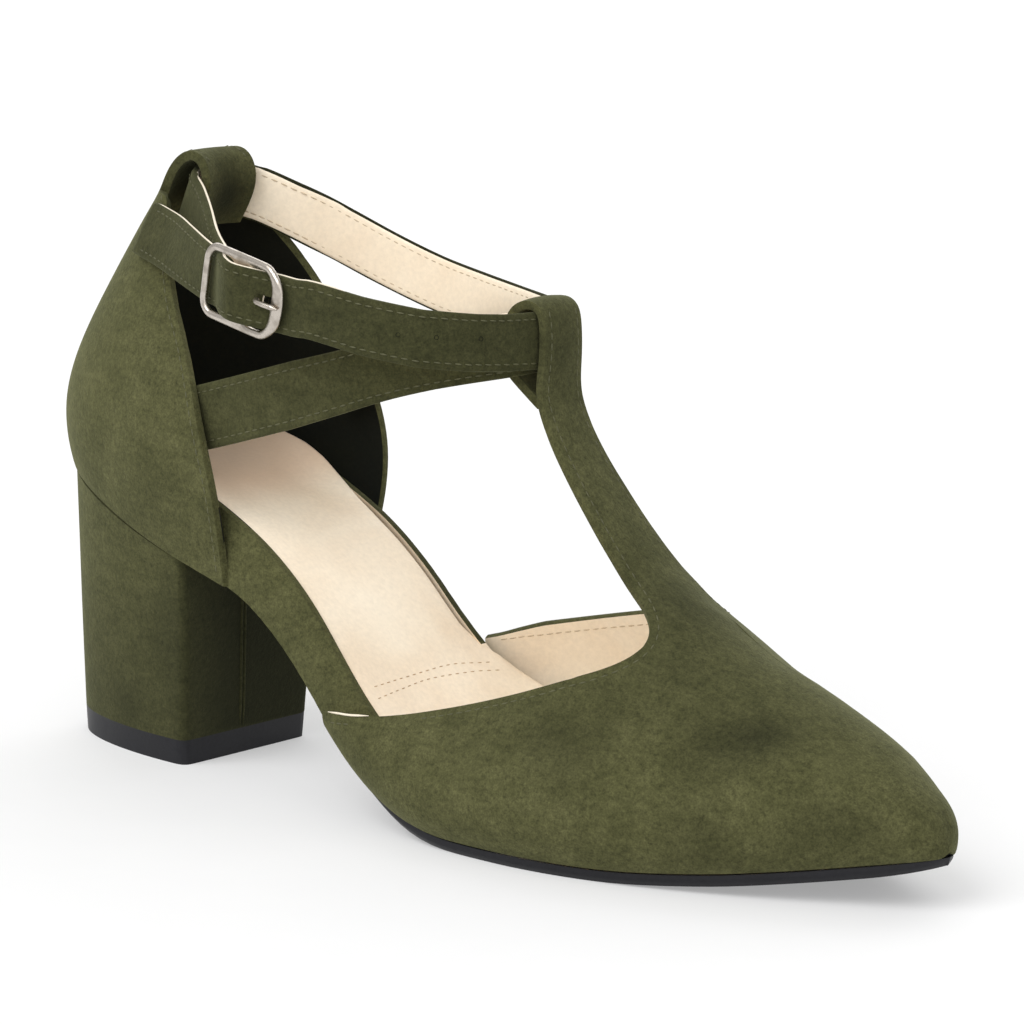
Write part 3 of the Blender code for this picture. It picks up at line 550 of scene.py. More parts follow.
DARK_LINING = PlainFinish(
    "dark_lining", body=(0.004, 0.005, 0.003), other=(0.008, 0.009, 0.005), rough=(0.8, 0.95), scale=1300.0, gloss=0.2
)
BLACK_RUBBER = PlainFinish(
    "black_rubber",
    body=(0.005, 0.005, 0.007),
    other=(0.011, 0.011, 0.014),
    rough=(0.40, 0.56),
    scale=1100.0,
    depth=0.00008,
    gloss=0.3,
)
OLIVE_THREAD = PlainFinish(
    "olive_thread", body=(0.066, 0.066, 0.029), other=(0.108, 0.106, 0.051), rough=(0.6, 0.8), scale=2600.0
)
TAN_THREAD = PlainFinish(
    "tan_thread", body=(0.42, 0.28, 0.15), other=(0.60, 0.43, 0.26), rough=(0.55, 0.75), scale=2600.0
)
RAW_EDGE = PlainFinish(
    "raw_leather_edge", body=(0.80, 0.70, 0.55), other=(0.90, 0.82, 0.68), rough=(0.7, 0.9), scale=1500.0
)
STUDIO_PAPER = PlainFinish(
    "studio_paper",
    body=(0.58, 0.58, 0.58),
    other=(0.59, 0.59, 0.59),
    rough=(0.9, 0.98),
    scale=40.0,
    depth=0.00002,
    gloss=0.1,
    glow=0.32,
)
CREAM_THREAD = PlainFinish(
    "cream_thread", body=(0.50, 0.40, 0.27), other=(0.66, 0.54, 0.39), rough=(0.55, 0.75), scale=2600.0
)


class Wardrobe:
    """All finishes of the shoe and its floor, each made once."""

    def __init__(self) -> None:
        """Makes the materials."""
        self.suede = SuedeFinish().material()
        self.lining = LiningFinish().material()
        self.dark_lining = DARK_LINING.material()
        self.rubber = BLACK_RUBBER.material()
        self.nickel = NickelFinish().material()
        self.olive_thread = OLIVE_THREAD.material()
        self.tan_thread = TAN_THREAD.material()
        self.raw_edge = RAW_EDGE.material()
        self.floor = STUDIO_PAPER.material()
        self.cream_thread = CREAM_THREAD.material()


def round_corners(piece: bpy.types.Object, radius: float) -> None:
    """Bevels the upright corners of a piece in edit mode.

    Args:
        piece: mesh object in edit mode.
        radius: size of the bevel in millimetres.
    """
    bpy.ops.mesh.select_mode(type="EDGE")
    bpy.ops.mesh.select_all(action="DESELECT")
    build = bmesh.from_edit_mesh(piece.data)
    for edge in build.edges:
        rise = abs(edge.verts[1].co.z - edge.verts[0].co.z)
        bent = len(edge.link_faces) == 2 and edge.calc_face_angle(0.0) > math.radians(CORNER_TURN)
        edge.select_set(bent and rise > CORNER_UPRIGHT * edge.calc_length())
    bmesh.update_edit_mesh(piece.data)
    bpy.ops.mesh.bevel(offset=radius * MM, segments=CORNER_SEGMENTS, profile=0.5)


def smooth_copy(
    node: str, name: str, sharp: float, crease: float, levels: int, quads: bool = True, corner: float = 0.0
) -> bpy.types.Object:
    """Copies a solid of the frame and turns it into a finely rounded mesh.

    Args:
        node: name of the solid.
        name: name of the new piece.
        sharp: angle in degrees from which an edge keeps its line.
        crease: how firmly such an edge keeps its line, from 0 to 1.
        levels: rounds of subdivision.
        quads: whether the triangles are first joined to quads.
        corner: size of the bevel at upright corners in millimetres, or 0.

    Returns:
        The new piece, without materials.
    """
    piece = bpy.data.objects.new(name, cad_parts[node].data.copy())
    bpy.context.scene.collection.objects.link(piece)
    piece.data.materials.clear()
    take(piece)
    bpy.ops.object.mode_set(mode="EDIT")
    bpy.ops.mesh.select_all(action="SELECT")
    bpy.ops.mesh.customdata_custom_splitnormals_clear()
    bpy.ops.mesh.remove_doubles(threshold=MERGE_GAP)
    if quads:
        flat, square = math.radians(QUAD_FLAT), math.radians(QUAD_SQUARE)
        bpy.ops.mesh.tris_convert_to_quads(face_threshold=flat, shape_threshold=square)
    if corner:
        round_corners(piece, corner)
    bpy.ops.mesh.select_all(action="DESELECT")
    build = bmesh.from_edit_mesh(piece.data)
    layer = build.edges.layers.float.new("crease_edge")
    for edge in build.edges:
        if len(edge.link_faces) == 2 and edge.calc_face_angle(0.0) > math.radians(sharp):
            edge[layer] = crease
    bmesh.update_edit_mesh(piece.data)
    bpy.ops.object.mode_set(mode="OBJECT")
    rounding = piece.modifiers.new("rounding", "SUBSURF")
    rounding.levels = levels
    rounding.render_levels = levels
    bpy.ops.object.modifier_apply(modifier=rounding.name)
    bpy.ops.object.shade_smooth_by_angle(angle=math.radians(SMOOTH_TURN))
    return piece


def wear(piece: bpy.types.Object, *materials: bpy.types.Material) -> None:
    """Gives a piece its materials in order."""
    for material in materials:
        piece.data.materials.append(material)


def fasten(piece: bpy.types.Object, slot: Slot, *nodes: str) -> bpy.types.Object:
    """Puts a finished piece on the shoe.

    Args:
        piece: the finished mesh.
        slot: material slot; not used.
        nodes: solids that it stands for.

    Returns:
        The piece.
    """
    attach(piece, BODY)
    if nodes:
        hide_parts(*nodes)
    LOG.info("%s: %d faces", piece.name, len(piece.data.polygons))
    return piece


def rod(name: str, line: np.ndarray, radius: float) -> bpy.types.Object:
    """Makes a thin round line, finer at both ends.

    Args:
        name: name of the new piece.
        line: places in millimetres.
        radius: radius in millimetres.

    Returns:
        The new piece, without materials.
    """
    curve = bpy.data.curves.new(name, "CURVE")
    curve.dimensions = "3D"
    curve.bevel_depth = radius * MM
    curve.bevel_resolution = 2
    curve.use_fill_caps = True
    spline = curve.splines.new("POLY")
    spline.points.add(len(line) - 1)
    for i, (point, place) in enumerate(zip(spline.points, to_frame(line))):
        point.co = (*place, 1.0)
        point.radius = min(1.0, ROD_TIP * (1 + min(i, len(line) - 1 - i)))
    piece = bpy.data.objects.new(name, curve)
    bpy.context.scene.collection.objects.link(piece)
    take(piece)
    bpy.ops.object.convert(target="MESH")
    bpy.ops.object.shade_smooth()
    return bpy.context.object


def stretches(marks: np.ndarray) -> list[slice]:
    """Unbroken stretches of true marks.

    Args:
        marks: one mark for each place on a line.

    Returns:
        The stretches, in order.
    """
    steps = np.flatnonzero(np.diff(np.concatenate([[0], marks.astype(int), [0]])))
    return [slice(start, end) for start, end in zip(steps[::2], steps[1::2]) if end - start > SHORTEST_STRETCH]


@dataclass(frozen=True)
class Patch:
    """Round area that is darkened or lightened, for brushed nap in some places and for painted shade or painted
    highlight in others.
    """

    place: Point
    radius: float
    strength: float


@dataclass(frozen=True)
class Trough:
    """Soft line pressed into the leather, or raised from it where the depth is negative."""

    start: Point
    end: Point
    half_width: float
    depth: float
    push: Point
    end_share: float = 0.5
    end_rise: float = 4.0

    def press(self, places: np.ndarray) -> np.ndarray:
        """Moves places near the line.

        Args:
            places: vertex places in millimetres.

        Returns:
            The moved places.
        """
        a = np.array(self.start)
        along = np.array(self.end) - a
        share = ((places - a) @ along) / (along @ along)
        nearest = a + np.clip(share, 0.0, 1.0)[:, None] * along
        away = np.linalg.norm(places - nearest, axis=1)
        ends = np.clip(np.minimum(share, 1.0 - share) * self.end_rise + self.end_share, 0.0, 1.0)
        amount = self.depth * np.exp(-((away / self.half_width) ** 2)) * ends
        direction = np.array(self.push) / np.linalg.norm(self.push)
        return places + amount[:, None] * direction


def write_nap_and_shade(piece: bpy.types.Object, nap_and_shade: np.ndarray) -> None:
    """Stores how far a piece is darkened by brushed nap and painted shade, or lightened by brushed nap and painted
    highlight where it is below zero.

    Args:
        piece: finished mesh.
        nap_and_shade: one number for each vertex.
    """
    layer = piece.data.attributes.get(NAP_AND_SHADE)
    if layer is None:
        layer = piece.data.attributes.new(NAP_AND_SHADE, "FLOAT", "POINT")
    layer.data.foreach_set("value", np.clip(nap_and_shade, -1.0, 1.0).astype(np.float32))


def read_nap_and_shade(piece: bpy.types.Object) -> np.ndarray:
    """Reads back the brushed nap and painted shade that write_nap_and_shade has stored.

    Args:
        piece: finished mesh.

    Returns:
        One number for each vertex.
    """
    nap_and_shade = np.empty(len(piece.data.vertices), np.float32)
    piece.data.attributes[NAP_AND_SHADE].data.foreach_get("value", nap_and_shade)
    return nap_and_shade


def brush_and_shade(piece: bpy.types.Object, ground: float, patches: tuple[Patch, ...] | list[Patch] = ()) -> None:
    """Darkens or lightens a whole piece and areas on it, for brushed nap, painted shade and painted highlight.

    Args:
        piece: finished suede mesh.
        ground: darkening of the whole piece.
        patches: areas that are darker or lighter, from brushed nap, painted shade and painted highlight.
    """
    places = vertex_places(piece)
    nap_and_shade = np.full(len(places), ground)
    for patch in patches:
        away = np.linalg.norm(places - np.array(patch.place), axis=1)
        nap_and_shade += patch.strength * np.exp(-((away / patch.radius) ** 2))
    write_nap_and_shade(piece, nap_and_shade)


@dataclass
class Upper:
    """Vamp with its instep bar, counter with the back loop, and the waist bands."""

    sharp: float = 48.0
    crease: float = 0.7
    lining_turn: float = 0.62
    bar_turn: float = 0.78
    toe_turn: float = 0.2
    toe_from: float = 178.0
    beige_from: float = 103.0
    band_back: float = 44.0
    band_front: float = 122.0
    band_inner: float = 8.0
    band_outer: float = 21.8
    band_high: float = 68.0
    band_turn: float = -0.35
    band_top_turn: float = 0.6
    band_top_rise: float = 0.3
    # stretch of the inner band's free top that gets painted shade, and how dark that painted shade is
    shaded_rim: Pair = (44.0, 107.0)
    rim_shade: float = 0.5
    ground: float = 0.04
    counter_front: float = 72.0
    counter_low: float = 47.0
    bar_back: float = 122.0
    bar_low: float = 57.0
    loop_low: float = 94.5
    back_loop_low: float = 121.0
    axis: list[Point] = field(
        default_factory=lambda: [
            (34.0, 3.0, 92.0),
            (62.0, 2.0, 78.0),
            (90.0, -4.0, 62.0),
            (110.0, -4.0, 40.0),
            (130.0, 0.0, 28.0),
            (165.0, 2.0, 22.0),
            (200.0, 3.0, 19.0),
            (236.0, 2.0, 17.0),
        ]
    )
    axis_step: float = 2.0
    bar_inward: Point = (-0.86, 0.0, -0.5)
    flare: float = 1.1
    flare_up: Table = ((48.0, 56.0, 66.0, 76.0, 88.0), (0.0, 1.0, 1.0, 0.6, 0.0))
    flare_middle: float = 3.5
    flare_fade: float = 6.0
    flare_from: float = 138.0
    patches: list[Patch] = field(
        default_factory=lambda: [
            Patch((206.6, -13.9, 33.2), 6.0, 0.50),
            Patch((201.0, -19.0, 31.0), 8.0, 0.28),
            Patch((197.0, -22.0, 33.0), 6.0, 0.14),
            Patch((211.0, -9.0, 34.0), 5.0, 0.18),
            Patch((165.2, -33.0, 29.0), 6.0, 0.26),
            Patch((172.0, -34.0, 24.0), 9.0, 0.12),
            Patch((229.1, -14.6, 18.9), 6.0, 0.26),
            Patch((235.5, -11.2, 16.5), 5.0, 0.16),
            Patch((224.6, -8.9, 28.9), 6.5, -0.20),
            Patch((175.0, -33.1, 27.8), 9.0, 0.10),
            Patch((177.2, -27.3, 33.9), 8.0, 0.10),
            Patch((177.8, 4.4, 52.4), 9.0, 0.15),
            Patch((221.0, -19.0, 16.0), 7.0, 0.18),
            Patch((204.0, -28.4, 13.7), 8.0, 0.20),
            Patch((169.0, 1.0, 53.0), 11.0, 0.24),
            Patch((184.0, -12.0, 45.0), 10.0, 0.14),
            Patch((238.0, 2.0, 13.0), 6.0, 0.26),
            Patch((178.0, 18.0, 45.0), 12.0, 0.18),
            # painted shade on and behind the front loop
            Patch((139.0, 2.0, 106.0), 11.0, 0.30),
            Patch((127.0, 2.0, 106.0), 8.0, 0.50),
            # painted shade inside the back loop
            Patch((39.0, 3.0, 127.0), 9.0, 0.95),
            Patch((30.0, 3.0, 136.0), 9.0, 0.25),
            Patch((28.0, -26.0, 90.0), 15.0, -0.16),
            Patch((12.0, -18.0, 78.0), 12.0, -0.12),
            Patch((33.0, -18.0, 110.0), 10.0, -0.10),
            Patch((20.0, -22.0, 66.0), 8.0, 0.10),
            Patch((46.0, -26.0, 58.0), 10.0, 0.08),
            Patch((213.0, -24.0, 22.0), 7.0, -0.16),
            Patch((188.0, -34.0, 22.0), 10.0, -0.10),
            Patch((148.0, -39.0, 18.0), 12.0, -0.10),
            # lighter nap with a painted highlight along the outer waist band
            Patch((80.0, -26.0, 44.0), 8.0, -0.08),
            Patch((92.0, -29.0, 31.0), 8.0, -0.09),
        ]
    )
    troughs: list[Trough] = field(
        default_factory=lambda: [
            Trough((186.0, -34.0, 18.0), (208.0, -14.0, 38.0), 7.0, 0.6, (0.1, 0.75, -0.6)),
            Trough((196.0, -33.0, 15.0), (220.0, -10.0, 32.0), 6.0, -0.4, (0.1, 0.75, -0.6)),
            Trough((160.0, -38.0, 26.0), (178.0, -30.0, 36.0), 6.0, 0.4, (0.0, 0.8, -0.5)),
            Trough((180.0, 36.0, 20.0), (204.0, 18.0, 36.0), 7.0, 0.5, (0.1, -0.75, -0.6)),
            Trough((198.0, 12.0, 43.0), (232.0, 6.0, 26.0), 13.0, -0.9, (0.0, -0.45, -0.9)),
            Trough((163.0, 24.0, 50.0), (178.0, 13.0, 51.5), 7.0, 1.0, (0.1, -0.3, -0.95)),
            Trough((112.0, 26.0, 35.0), (156.0, 31.0, 45.5), 6.0, -1.1, (0.0, 0.0, -1.0)),
            Trough((24.0, -27.0, 62.0), (40.0, -27.0, 96.0), 8.0, 0.4, (0.1, 1.0, 0.0)),
            Trough((24.0, 30.0, 62.0), (40.0, 31.0, 96.0), 8.0, 0.4, (0.1, -1.0, 0.0)),
        ]
    )

    def build(self, wardrobe: Wardrobe) -> bpy.types.Object:
        """Makes and dresses the upper.

        Args:
            wardrobe: finishes.

        Returns:
            The finished piece.
        """
        piece = smooth_copy("upper", "suede_upper", self.sharp, self.crease, levels=2)
        places = vertex_places(piece)
        for trough in self.troughs:
            places = trough.press(places)
        set_places(piece, self.flared(places))
        # darker and lighter suede: brushed nap, painted shade in and around the loops and painted highlight on the
        # outer waist band
        brush_and_shade(piece, self.ground, self.patches)
        # painted shade along the inner band's rim
        self.paint_rim_shade(piece)
        wear(piece, wardrobe.suede, wardrobe.lining, wardrobe.dark_lining)
        piece.data.polygons.foreach_set("material_index", self.linings(piece))
        return fasten(piece, Slot.SUEDE, "upper")

    def flared(self, places: np.ndarray) -> np.ndarray:
        """Widens the foot of the instep bar to both sides.

        Args:
            places: places on the upper in millimetres.

        Returns:
            The moved places.
        """
        x, y, z = places.T
        aside = np.clip((y - self.flare_middle) / self.flare_fade, -1.0, 1.0)
        share = np.interp(z, *self.flare_up) * (x > self.flare_from)
        return places + np.outer(self.flare * share * aside, (0.0, 1.0, 0.0))

    def on_band(self, places: np.ndarray) -> np.ndarray:
        """Finds the inner side's waist band.

        Args:
            places: places on the upper in millimetres.

        Returns:
            True for each place that lies on the band.
        """
        x, y, z = places.T
        marks = (x > self.band_back) & (x < self.band_front) & (z < self.band_high)
        return marks & (y > self.band_inner) & (y < self.band_outer)

    def on_top(self, normals: np.ndarray) -> np.ndarray:
        """Marks the normals of the band's free top."""
        return (np.abs(normals[:, 1]) < self.band_top_turn) & (normals[:, 2] > self.band_top_rise)

    def paint_rim_shade(self, piece: bpy.types.Object) -> None:
        """Paints shade along the free top of the inner side's waist band, as darker suede.

        Args:
            piece: the rounded upper.
        """
        places = vertex_places(piece)
        normals = np.array([vertex.normal[:] for vertex in piece.data.vertices])
        back, front = self.shaded_rim
        rim = self.on_band(places) & self.on_top(normals) & (places[:, 0] > back) & (places[:, 0] < front)
        write_nap_and_shade(piece, np.where(rim, self.rim_shade, read_nap_and_shade(piece)))

    def inward(self, middles: np.ndarray, on_bar: np.ndarray) -> np.ndarray:
        """Finds the directions towards the foot.

        Args:
            middles: places on the upper in millimetres.
            on_bar: True for each place on the instep bar.

        Returns:
            A unit direction for each place.
        """
        line = through(self.axis, self.axis_step)
        nearest = np.empty_like(middles)
        for start in range(0, len(middles), SEARCH_ROWS):
            rows = slice(start, start + SEARCH_ROWS)
            away = np.linalg.norm(middles[rows, None] - line[None], axis=2)
            nearest[rows] = line[np.argmin(away, axis=1)]
        inward = unit(nearest - middles)
        inward[on_bar] = self.bar_inward
        return inward

    def linings(self, piece: bpy.types.Object) -> np.ndarray:
        """Finds the faces that the linings cover.

        Args:
            piece: the rounded upper.

        Returns:
            Material number of each face: 0 suede, 1 beige lining, 2 dark lining.
        """
        middles, normals = face_places(piece)
        x, _, z = middles.T
        on_bar = (x > self.bar_back) & (z > self.bar_low)
        turn = np.where(x > self.toe_from, self.toe_turn, self.lining_turn)
        turn[on_bar] = self.bar_turn
        inside = np.einsum("ij,ij->i", normals, self.inward(middles, on_bar)) > turn
        in_band = self.on_band(middles)
        covered = (normals[:, 1] < self.band_turn) | (self.on_top(normals) & (x > self.shaded_rim[1]))
        in_counter = (x < self.counter_front) & (z > self.counter_low)
        loops = (on_bar & (z > self.loop_low)) | (in_counter & (z > self.back_loop_low))
        beige = np.where(in_band, covered, inside & (x > self.beige_from))
        number = np.where(inside & in_counter & ~in_band, 2, np.where(beige, 1, 0))
        return np.where(loops, 0, number).astype(np.int32)


@dataclass
class Stations:
    """Places along a strap's middle with the directions there."""

    place: np.ndarray
    ahead: np.ndarray
    up: np.ndarray
    inward: np.ndarray


@dataclass(frozen=True)
class StrapPath:
    """Middle line of a strap, each row a place and how far the strap leans forwards and inwards there."""

    rows: tuple[tuple[float, float, float, float, float], ...]
    run: Run

    def stations(self, step: float) -> Stations:
        """Walks along the strap.

        Args:
            step: distance between the places, in millimetres.

        Returns:
            The places and directions.
        """
        line = through(list(self.rows), step)
        place = line[:, :3]
        ahead = unit(np.gradient(place, axis=0))
        lean = np.column_stack([line[:, 3], line[:, 4], np.ones(len(line))])
        up = unit(lean - np.einsum("ij,ij->i", lean, ahead)[:, None] * ahead)
        return Stations(place, ahead, up, np.cross(ahead, up) * self.run.value)


ANKLE_PATH = StrapPath(
    (
        (74.0, -33.6, 114.6, 0.0, 0.05),
        (66.0, -28.8, 116.4, 0.0, 0.10),
        (58.0, -23.2, 118.8, 0.05, 0.12),
        (50.0, -16.8, 122.0, 0.14, 0.15),
        (41.6, -10.2, 125.2, 0.26, 0.12),
        (33.6, -3.8, 127.7, 0.32, 0.05),
        (30.4, 3.8, 128.6, 0.34, 0.0),
        (32.4, 10.8, 128.6, 0.27, -0.05),
        (38.4, 14.4, 127.6, 0.22, -0.06),
        (46.6, 18.7, 124.2, 0.16, -0.08),
        (55.0, 25.0, 119.4, 0.08, -0.10),
        (66.0, 29.2, 114.3, 0.0, -0.06),
        (80.0, 30.9, 110.0, 0.0, -0.03),
        (94.0, 29.9, 107.8, 0.0, -0.03),
        (109.0, 26.2, 106.6, -0.04, -0.04),
        (121.6, 20.0, 106.6, -0.08, -0.03),
        (129.8, 14.0, 106.8, -0.10, 0.0),
        (134.2, 7.6, 107.0, -0.12, 0.0),
        (135.6, 0.6, 107.2, -0.12, 0.0),
        (134.4, -8.4, 107.6, -0.10, 0.0),
        (130.6, -19.4, 109.0, -0.06, 0.02),
        (124.2, -28.6, 110.6, -0.03, 0.03),
        (113.0, -34.6, 112.0, 0.0, 0.03),
        (101.0, -36.6, 113.0, 0.0, 0.02),
        (95.4, -36.6, 112.8, 0.0, 0.0),
        (90.2, -36.2, 113.1, 0.0, 0.0),
        (85.2, -37.7, 113.7, 0.0, 0.0),
        (79.0, -39.3, 114.6, 0.0, 0.0),
        (74.4, -37.2, 115.3, 0.0, 0.0),
        (70.2, -33.6, 115.9, 0.0, 0.0),
        (65.8, -32.0, 116.5, 0.0, 0.06),
        (59.0, -28.8, 117.6, 0.0, 0.14),
        (51.0, -24.6, 118.8, 0.05, 0.24),
        (42.6, -20.0, 119.9, 0.10, 0.34),
        (31.0, -15.0, 121.2, 0.18, 0.38),
    ),
    Run.ROUND_THE_HEEL,
)
CROSS_PATH = StrapPath(
    (
        (55.0, -24.7, 81.2, 0.0, 0.0),
        (64.0, -25.7, 84.0, 0.0, 0.0),
        (78.0, -26.2, 88.6, 0.0, 0.03),
        (95.0, -25.4, 94.4, 0.0, 0.05),
        (109.0, -22.6, 99.4, 0.0, 0.06),
        (122.4, -16.4, 103.2, -0.04, 0.05),
        (130.8, -7.8, 105.2, -0.08, 0.02),
        (132.6, 1.0, 105.8, -0.10, 0.0),
        (130.8, 8.6, 105.4, -0.08, -0.02),
        (122.4, 16.0, 104.0, -0.04, -0.05),
        (108.0, 22.4, 101.0, 0.0, -0.06),
        (94.0, 26.2, 96.6, 0.0, -0.05),
        (78.0, 28.0, 91.0, 0.0, -0.03),
        (64.0, 27.6, 85.8, 0.0, 0.0),
        (55.0, 26.6, 82.6, 0.0, 0.0),
    ),
    Run.ROUND_THE_INSTEP,
)


@dataclass
class Strap:
    """A lined suede strap with a row of stitches along each edge.

    The tables give places along the shoe and the share of a move there.
    """

    node: str
    name: str
    path: StrapPath
    wide: float
    thick: float = 1.9
    sharp: float = 30.0
    crease: float = 0.45
    search_step: float = 1.5
    lining_from: float = 0.55
    over_weight: float = 4.0
    stitch_inset: float = 1.5
    stitch_ends: int = 2
    ground: float = 0.14
    side_from: float = 4.0
    inner_fade: float = 10.0
    outer_fade: float = 8.0
    far_rise: float = 0.0
    far_run: Table = ((66.0, 90.0, 122.0), (1.0, 0.45, 0.0))
    near_sag: float = 0.0
    sag_run: Table = ((98.0, 112.0, 124.0, 131.0, 136.0), (0.0, 0.7, 1.0, 0.6, 0.0))
    near_widening: float = 0.0
    wide_run: Table = ((60.0, 85.0, 120.0), (1.0, 1.0, 0.0))
    edge_step: float = 1.0
    near_line: float = 0.0
    near_line_inset: float = 0.1
    near_line_depth: float = 0.35
    near_line_side: float = -5.0
    near_line_front: float = 108.0
    far_line: float = 0.0
    far_line_inset: float = 0.2
    far_line_depth: float = 0.25
    far_line_side: float = 13.0
    far_line_back: float = 36.0
    far_line_nap: float = 0.85

    def build(self, wardrobe: Wardrobe) -> bpy.types.Object:
        """Makes and dresses the strap.

        Args:
            wardrobe: finishes.

        Returns:
            The finished piece.
        """
        piece = smooth_copy(self.node, self.name, self.sharp, self.crease, levels=2)
        wear(piece, wardrobe.suede, wardrobe.lining)
        lined = self.lined(piece)
        piece.data.polygons.foreach_set("material_index", lined.astype(np.int32))
        set_places(piece, self.settled(vertex_places(piece)))
        self.darken(piece, lined)
        if self.near_line:
            self.edge_lines(wardrobe)
        return fasten(piece, Slot.SUEDE, self.node)

    def darken(self, piece: bpy.types.Object, lined: np.ndarray) -> None:
        """Darkens the suede's nap and leaves the lining's vertices light.

        Args:
            piece: the rounded strap.
            lined: True for each face that the lining covers.
        """
        nap_and_shade = np.full(len(piece.data.vertices), self.ground)
        for face, inner in zip(piece.data.polygons, lined):
            if inner:
                nap_and_shade[list(face.vertices)] = 0.0
        write_nap_and_shade(piece, nap_and_shade)

    def settled(self, places: np.ndarray) -> np.ndarray:
        """Raises the inner side's run, and lets the outer side's run sag or widens it towards the counter.

        Args:
            places: places on the strap in millimetres.

        Returns:
            The moved places.
        """
        x, y, z = places.T
        inner = np.clip((y - self.side_from) / self.inner_fade, 0.0, 1.0)
        outer = np.clip((-self.side_from - y) / self.outer_fade, 0.0, 1.0)
        move = self.far_rise * inner * np.interp(x, *self.far_run)
        move -= self.near_sag * outer * np.interp(x, *self.sag_run)
        if self.near_widening:
            line = np.array([row[:3] for row in self.path.rows if row[1] < 0.0])
            middle = np.interp(x, line[:, 0], line[:, 2])
            move += self.near_widening * outer * np.interp(x, *self.wide_run) * (z - middle)
        return places + np.outer(move, (0.0, 0.0, 1.0))

    def edge_lines(self, wardrobe: Wardrobe) -> None:
        """Lays the pale cut edge along the outer side's top and the dark cut edges along the inner side.

        Args:
            wardrobe: finishes.
        """
        line = self.path.stations(self.edge_step)
        half = self.wide / 2
        x, y, _ = line.place.T
        pale = line.place + line.up * (half - self.near_line_inset) + line.inward * self.near_line_depth
        for number, run in enumerate(stretches((y < self.near_line_side) & (x < self.near_line_front))):
            edge = rod(f"pale_strap_edge_{number}", self.settled(pale[run]), self.near_line)
            wear(edge, wardrobe.raw_edge)
            fasten(edge, Slot.LINING)
        for name, side in (("top", 1.0), ("low", -1.0)):
            dark = line.place + line.up * side * (half - self.far_line_inset) + line.inward * self.far_line_depth
            for number, run in enumerate(stretches((y > self.far_line_side) & (x > self.far_line_back))):
                edge = rod(f"dark_strap_edge_{name}_{number}", dark[run], self.far_line)
                brush_and_shade(edge, self.far_line_nap)
                wear(edge, wardrobe.suede)
                fasten(edge, Slot.SUEDE)

    def lined(self, piece: bpy.types.Object) -> np.ndarray:
        """Finds the faces on the foot's side of the strap.

        Args:
            piece: the rounded strap.

        Returns:
            True for each face that the lining covers.
        """
        middles, _ = face_places(piece)
        line = self.path.stations(self.search_step)
        lined = np.empty(len(middles), bool)
        for start in range(0, len(middles), SEARCH_ROWS):
            rows = slice(start, start + SEARCH_ROWS)
            gap = middles[rows, None] - line.place[None]
            along = np.einsum("ijk,jk->ij", gap, line.ahead)
            over = np.maximum(np.abs(np.einsum("ijk,jk->ij", gap, line.up)) - self.wide / 2, 0.0)
            deep = np.einsum("ijk,jk->ij", gap, line.inward)
            best = np.argmin(along**2 + self.over_weight * over**2 + deep**2, axis=1)
            lined[rows] = deep[np.arange(len(best)), best] > self.lining_from
        return lined

    def rows(self, face: Face, pitch: float) -> list[Stations]:
        """Lays a row of stitches along both edges of one side.

        Args:
            face: side of the strap.
            pitch: distance from stitch to stitch, in millimetres.

        Returns:
            The two rows, each with its upright direction pointing out of the leather.
        """
        line = self.path.stations(pitch)
        keep = slice(self.stitch_ends, -self.stitch_ends)
        out = line.inward * face.value
        rows = []
        for side in (-1.0, 1.0):
            place = line.place + line.up * side * (self.wide / 2 - self.stitch_inset) + out * self.thick / 2
            place = self.settled(place)
            rows.append(Stations(place[keep], line.ahead[keep], out[keep], line.up[keep]))
        return rows


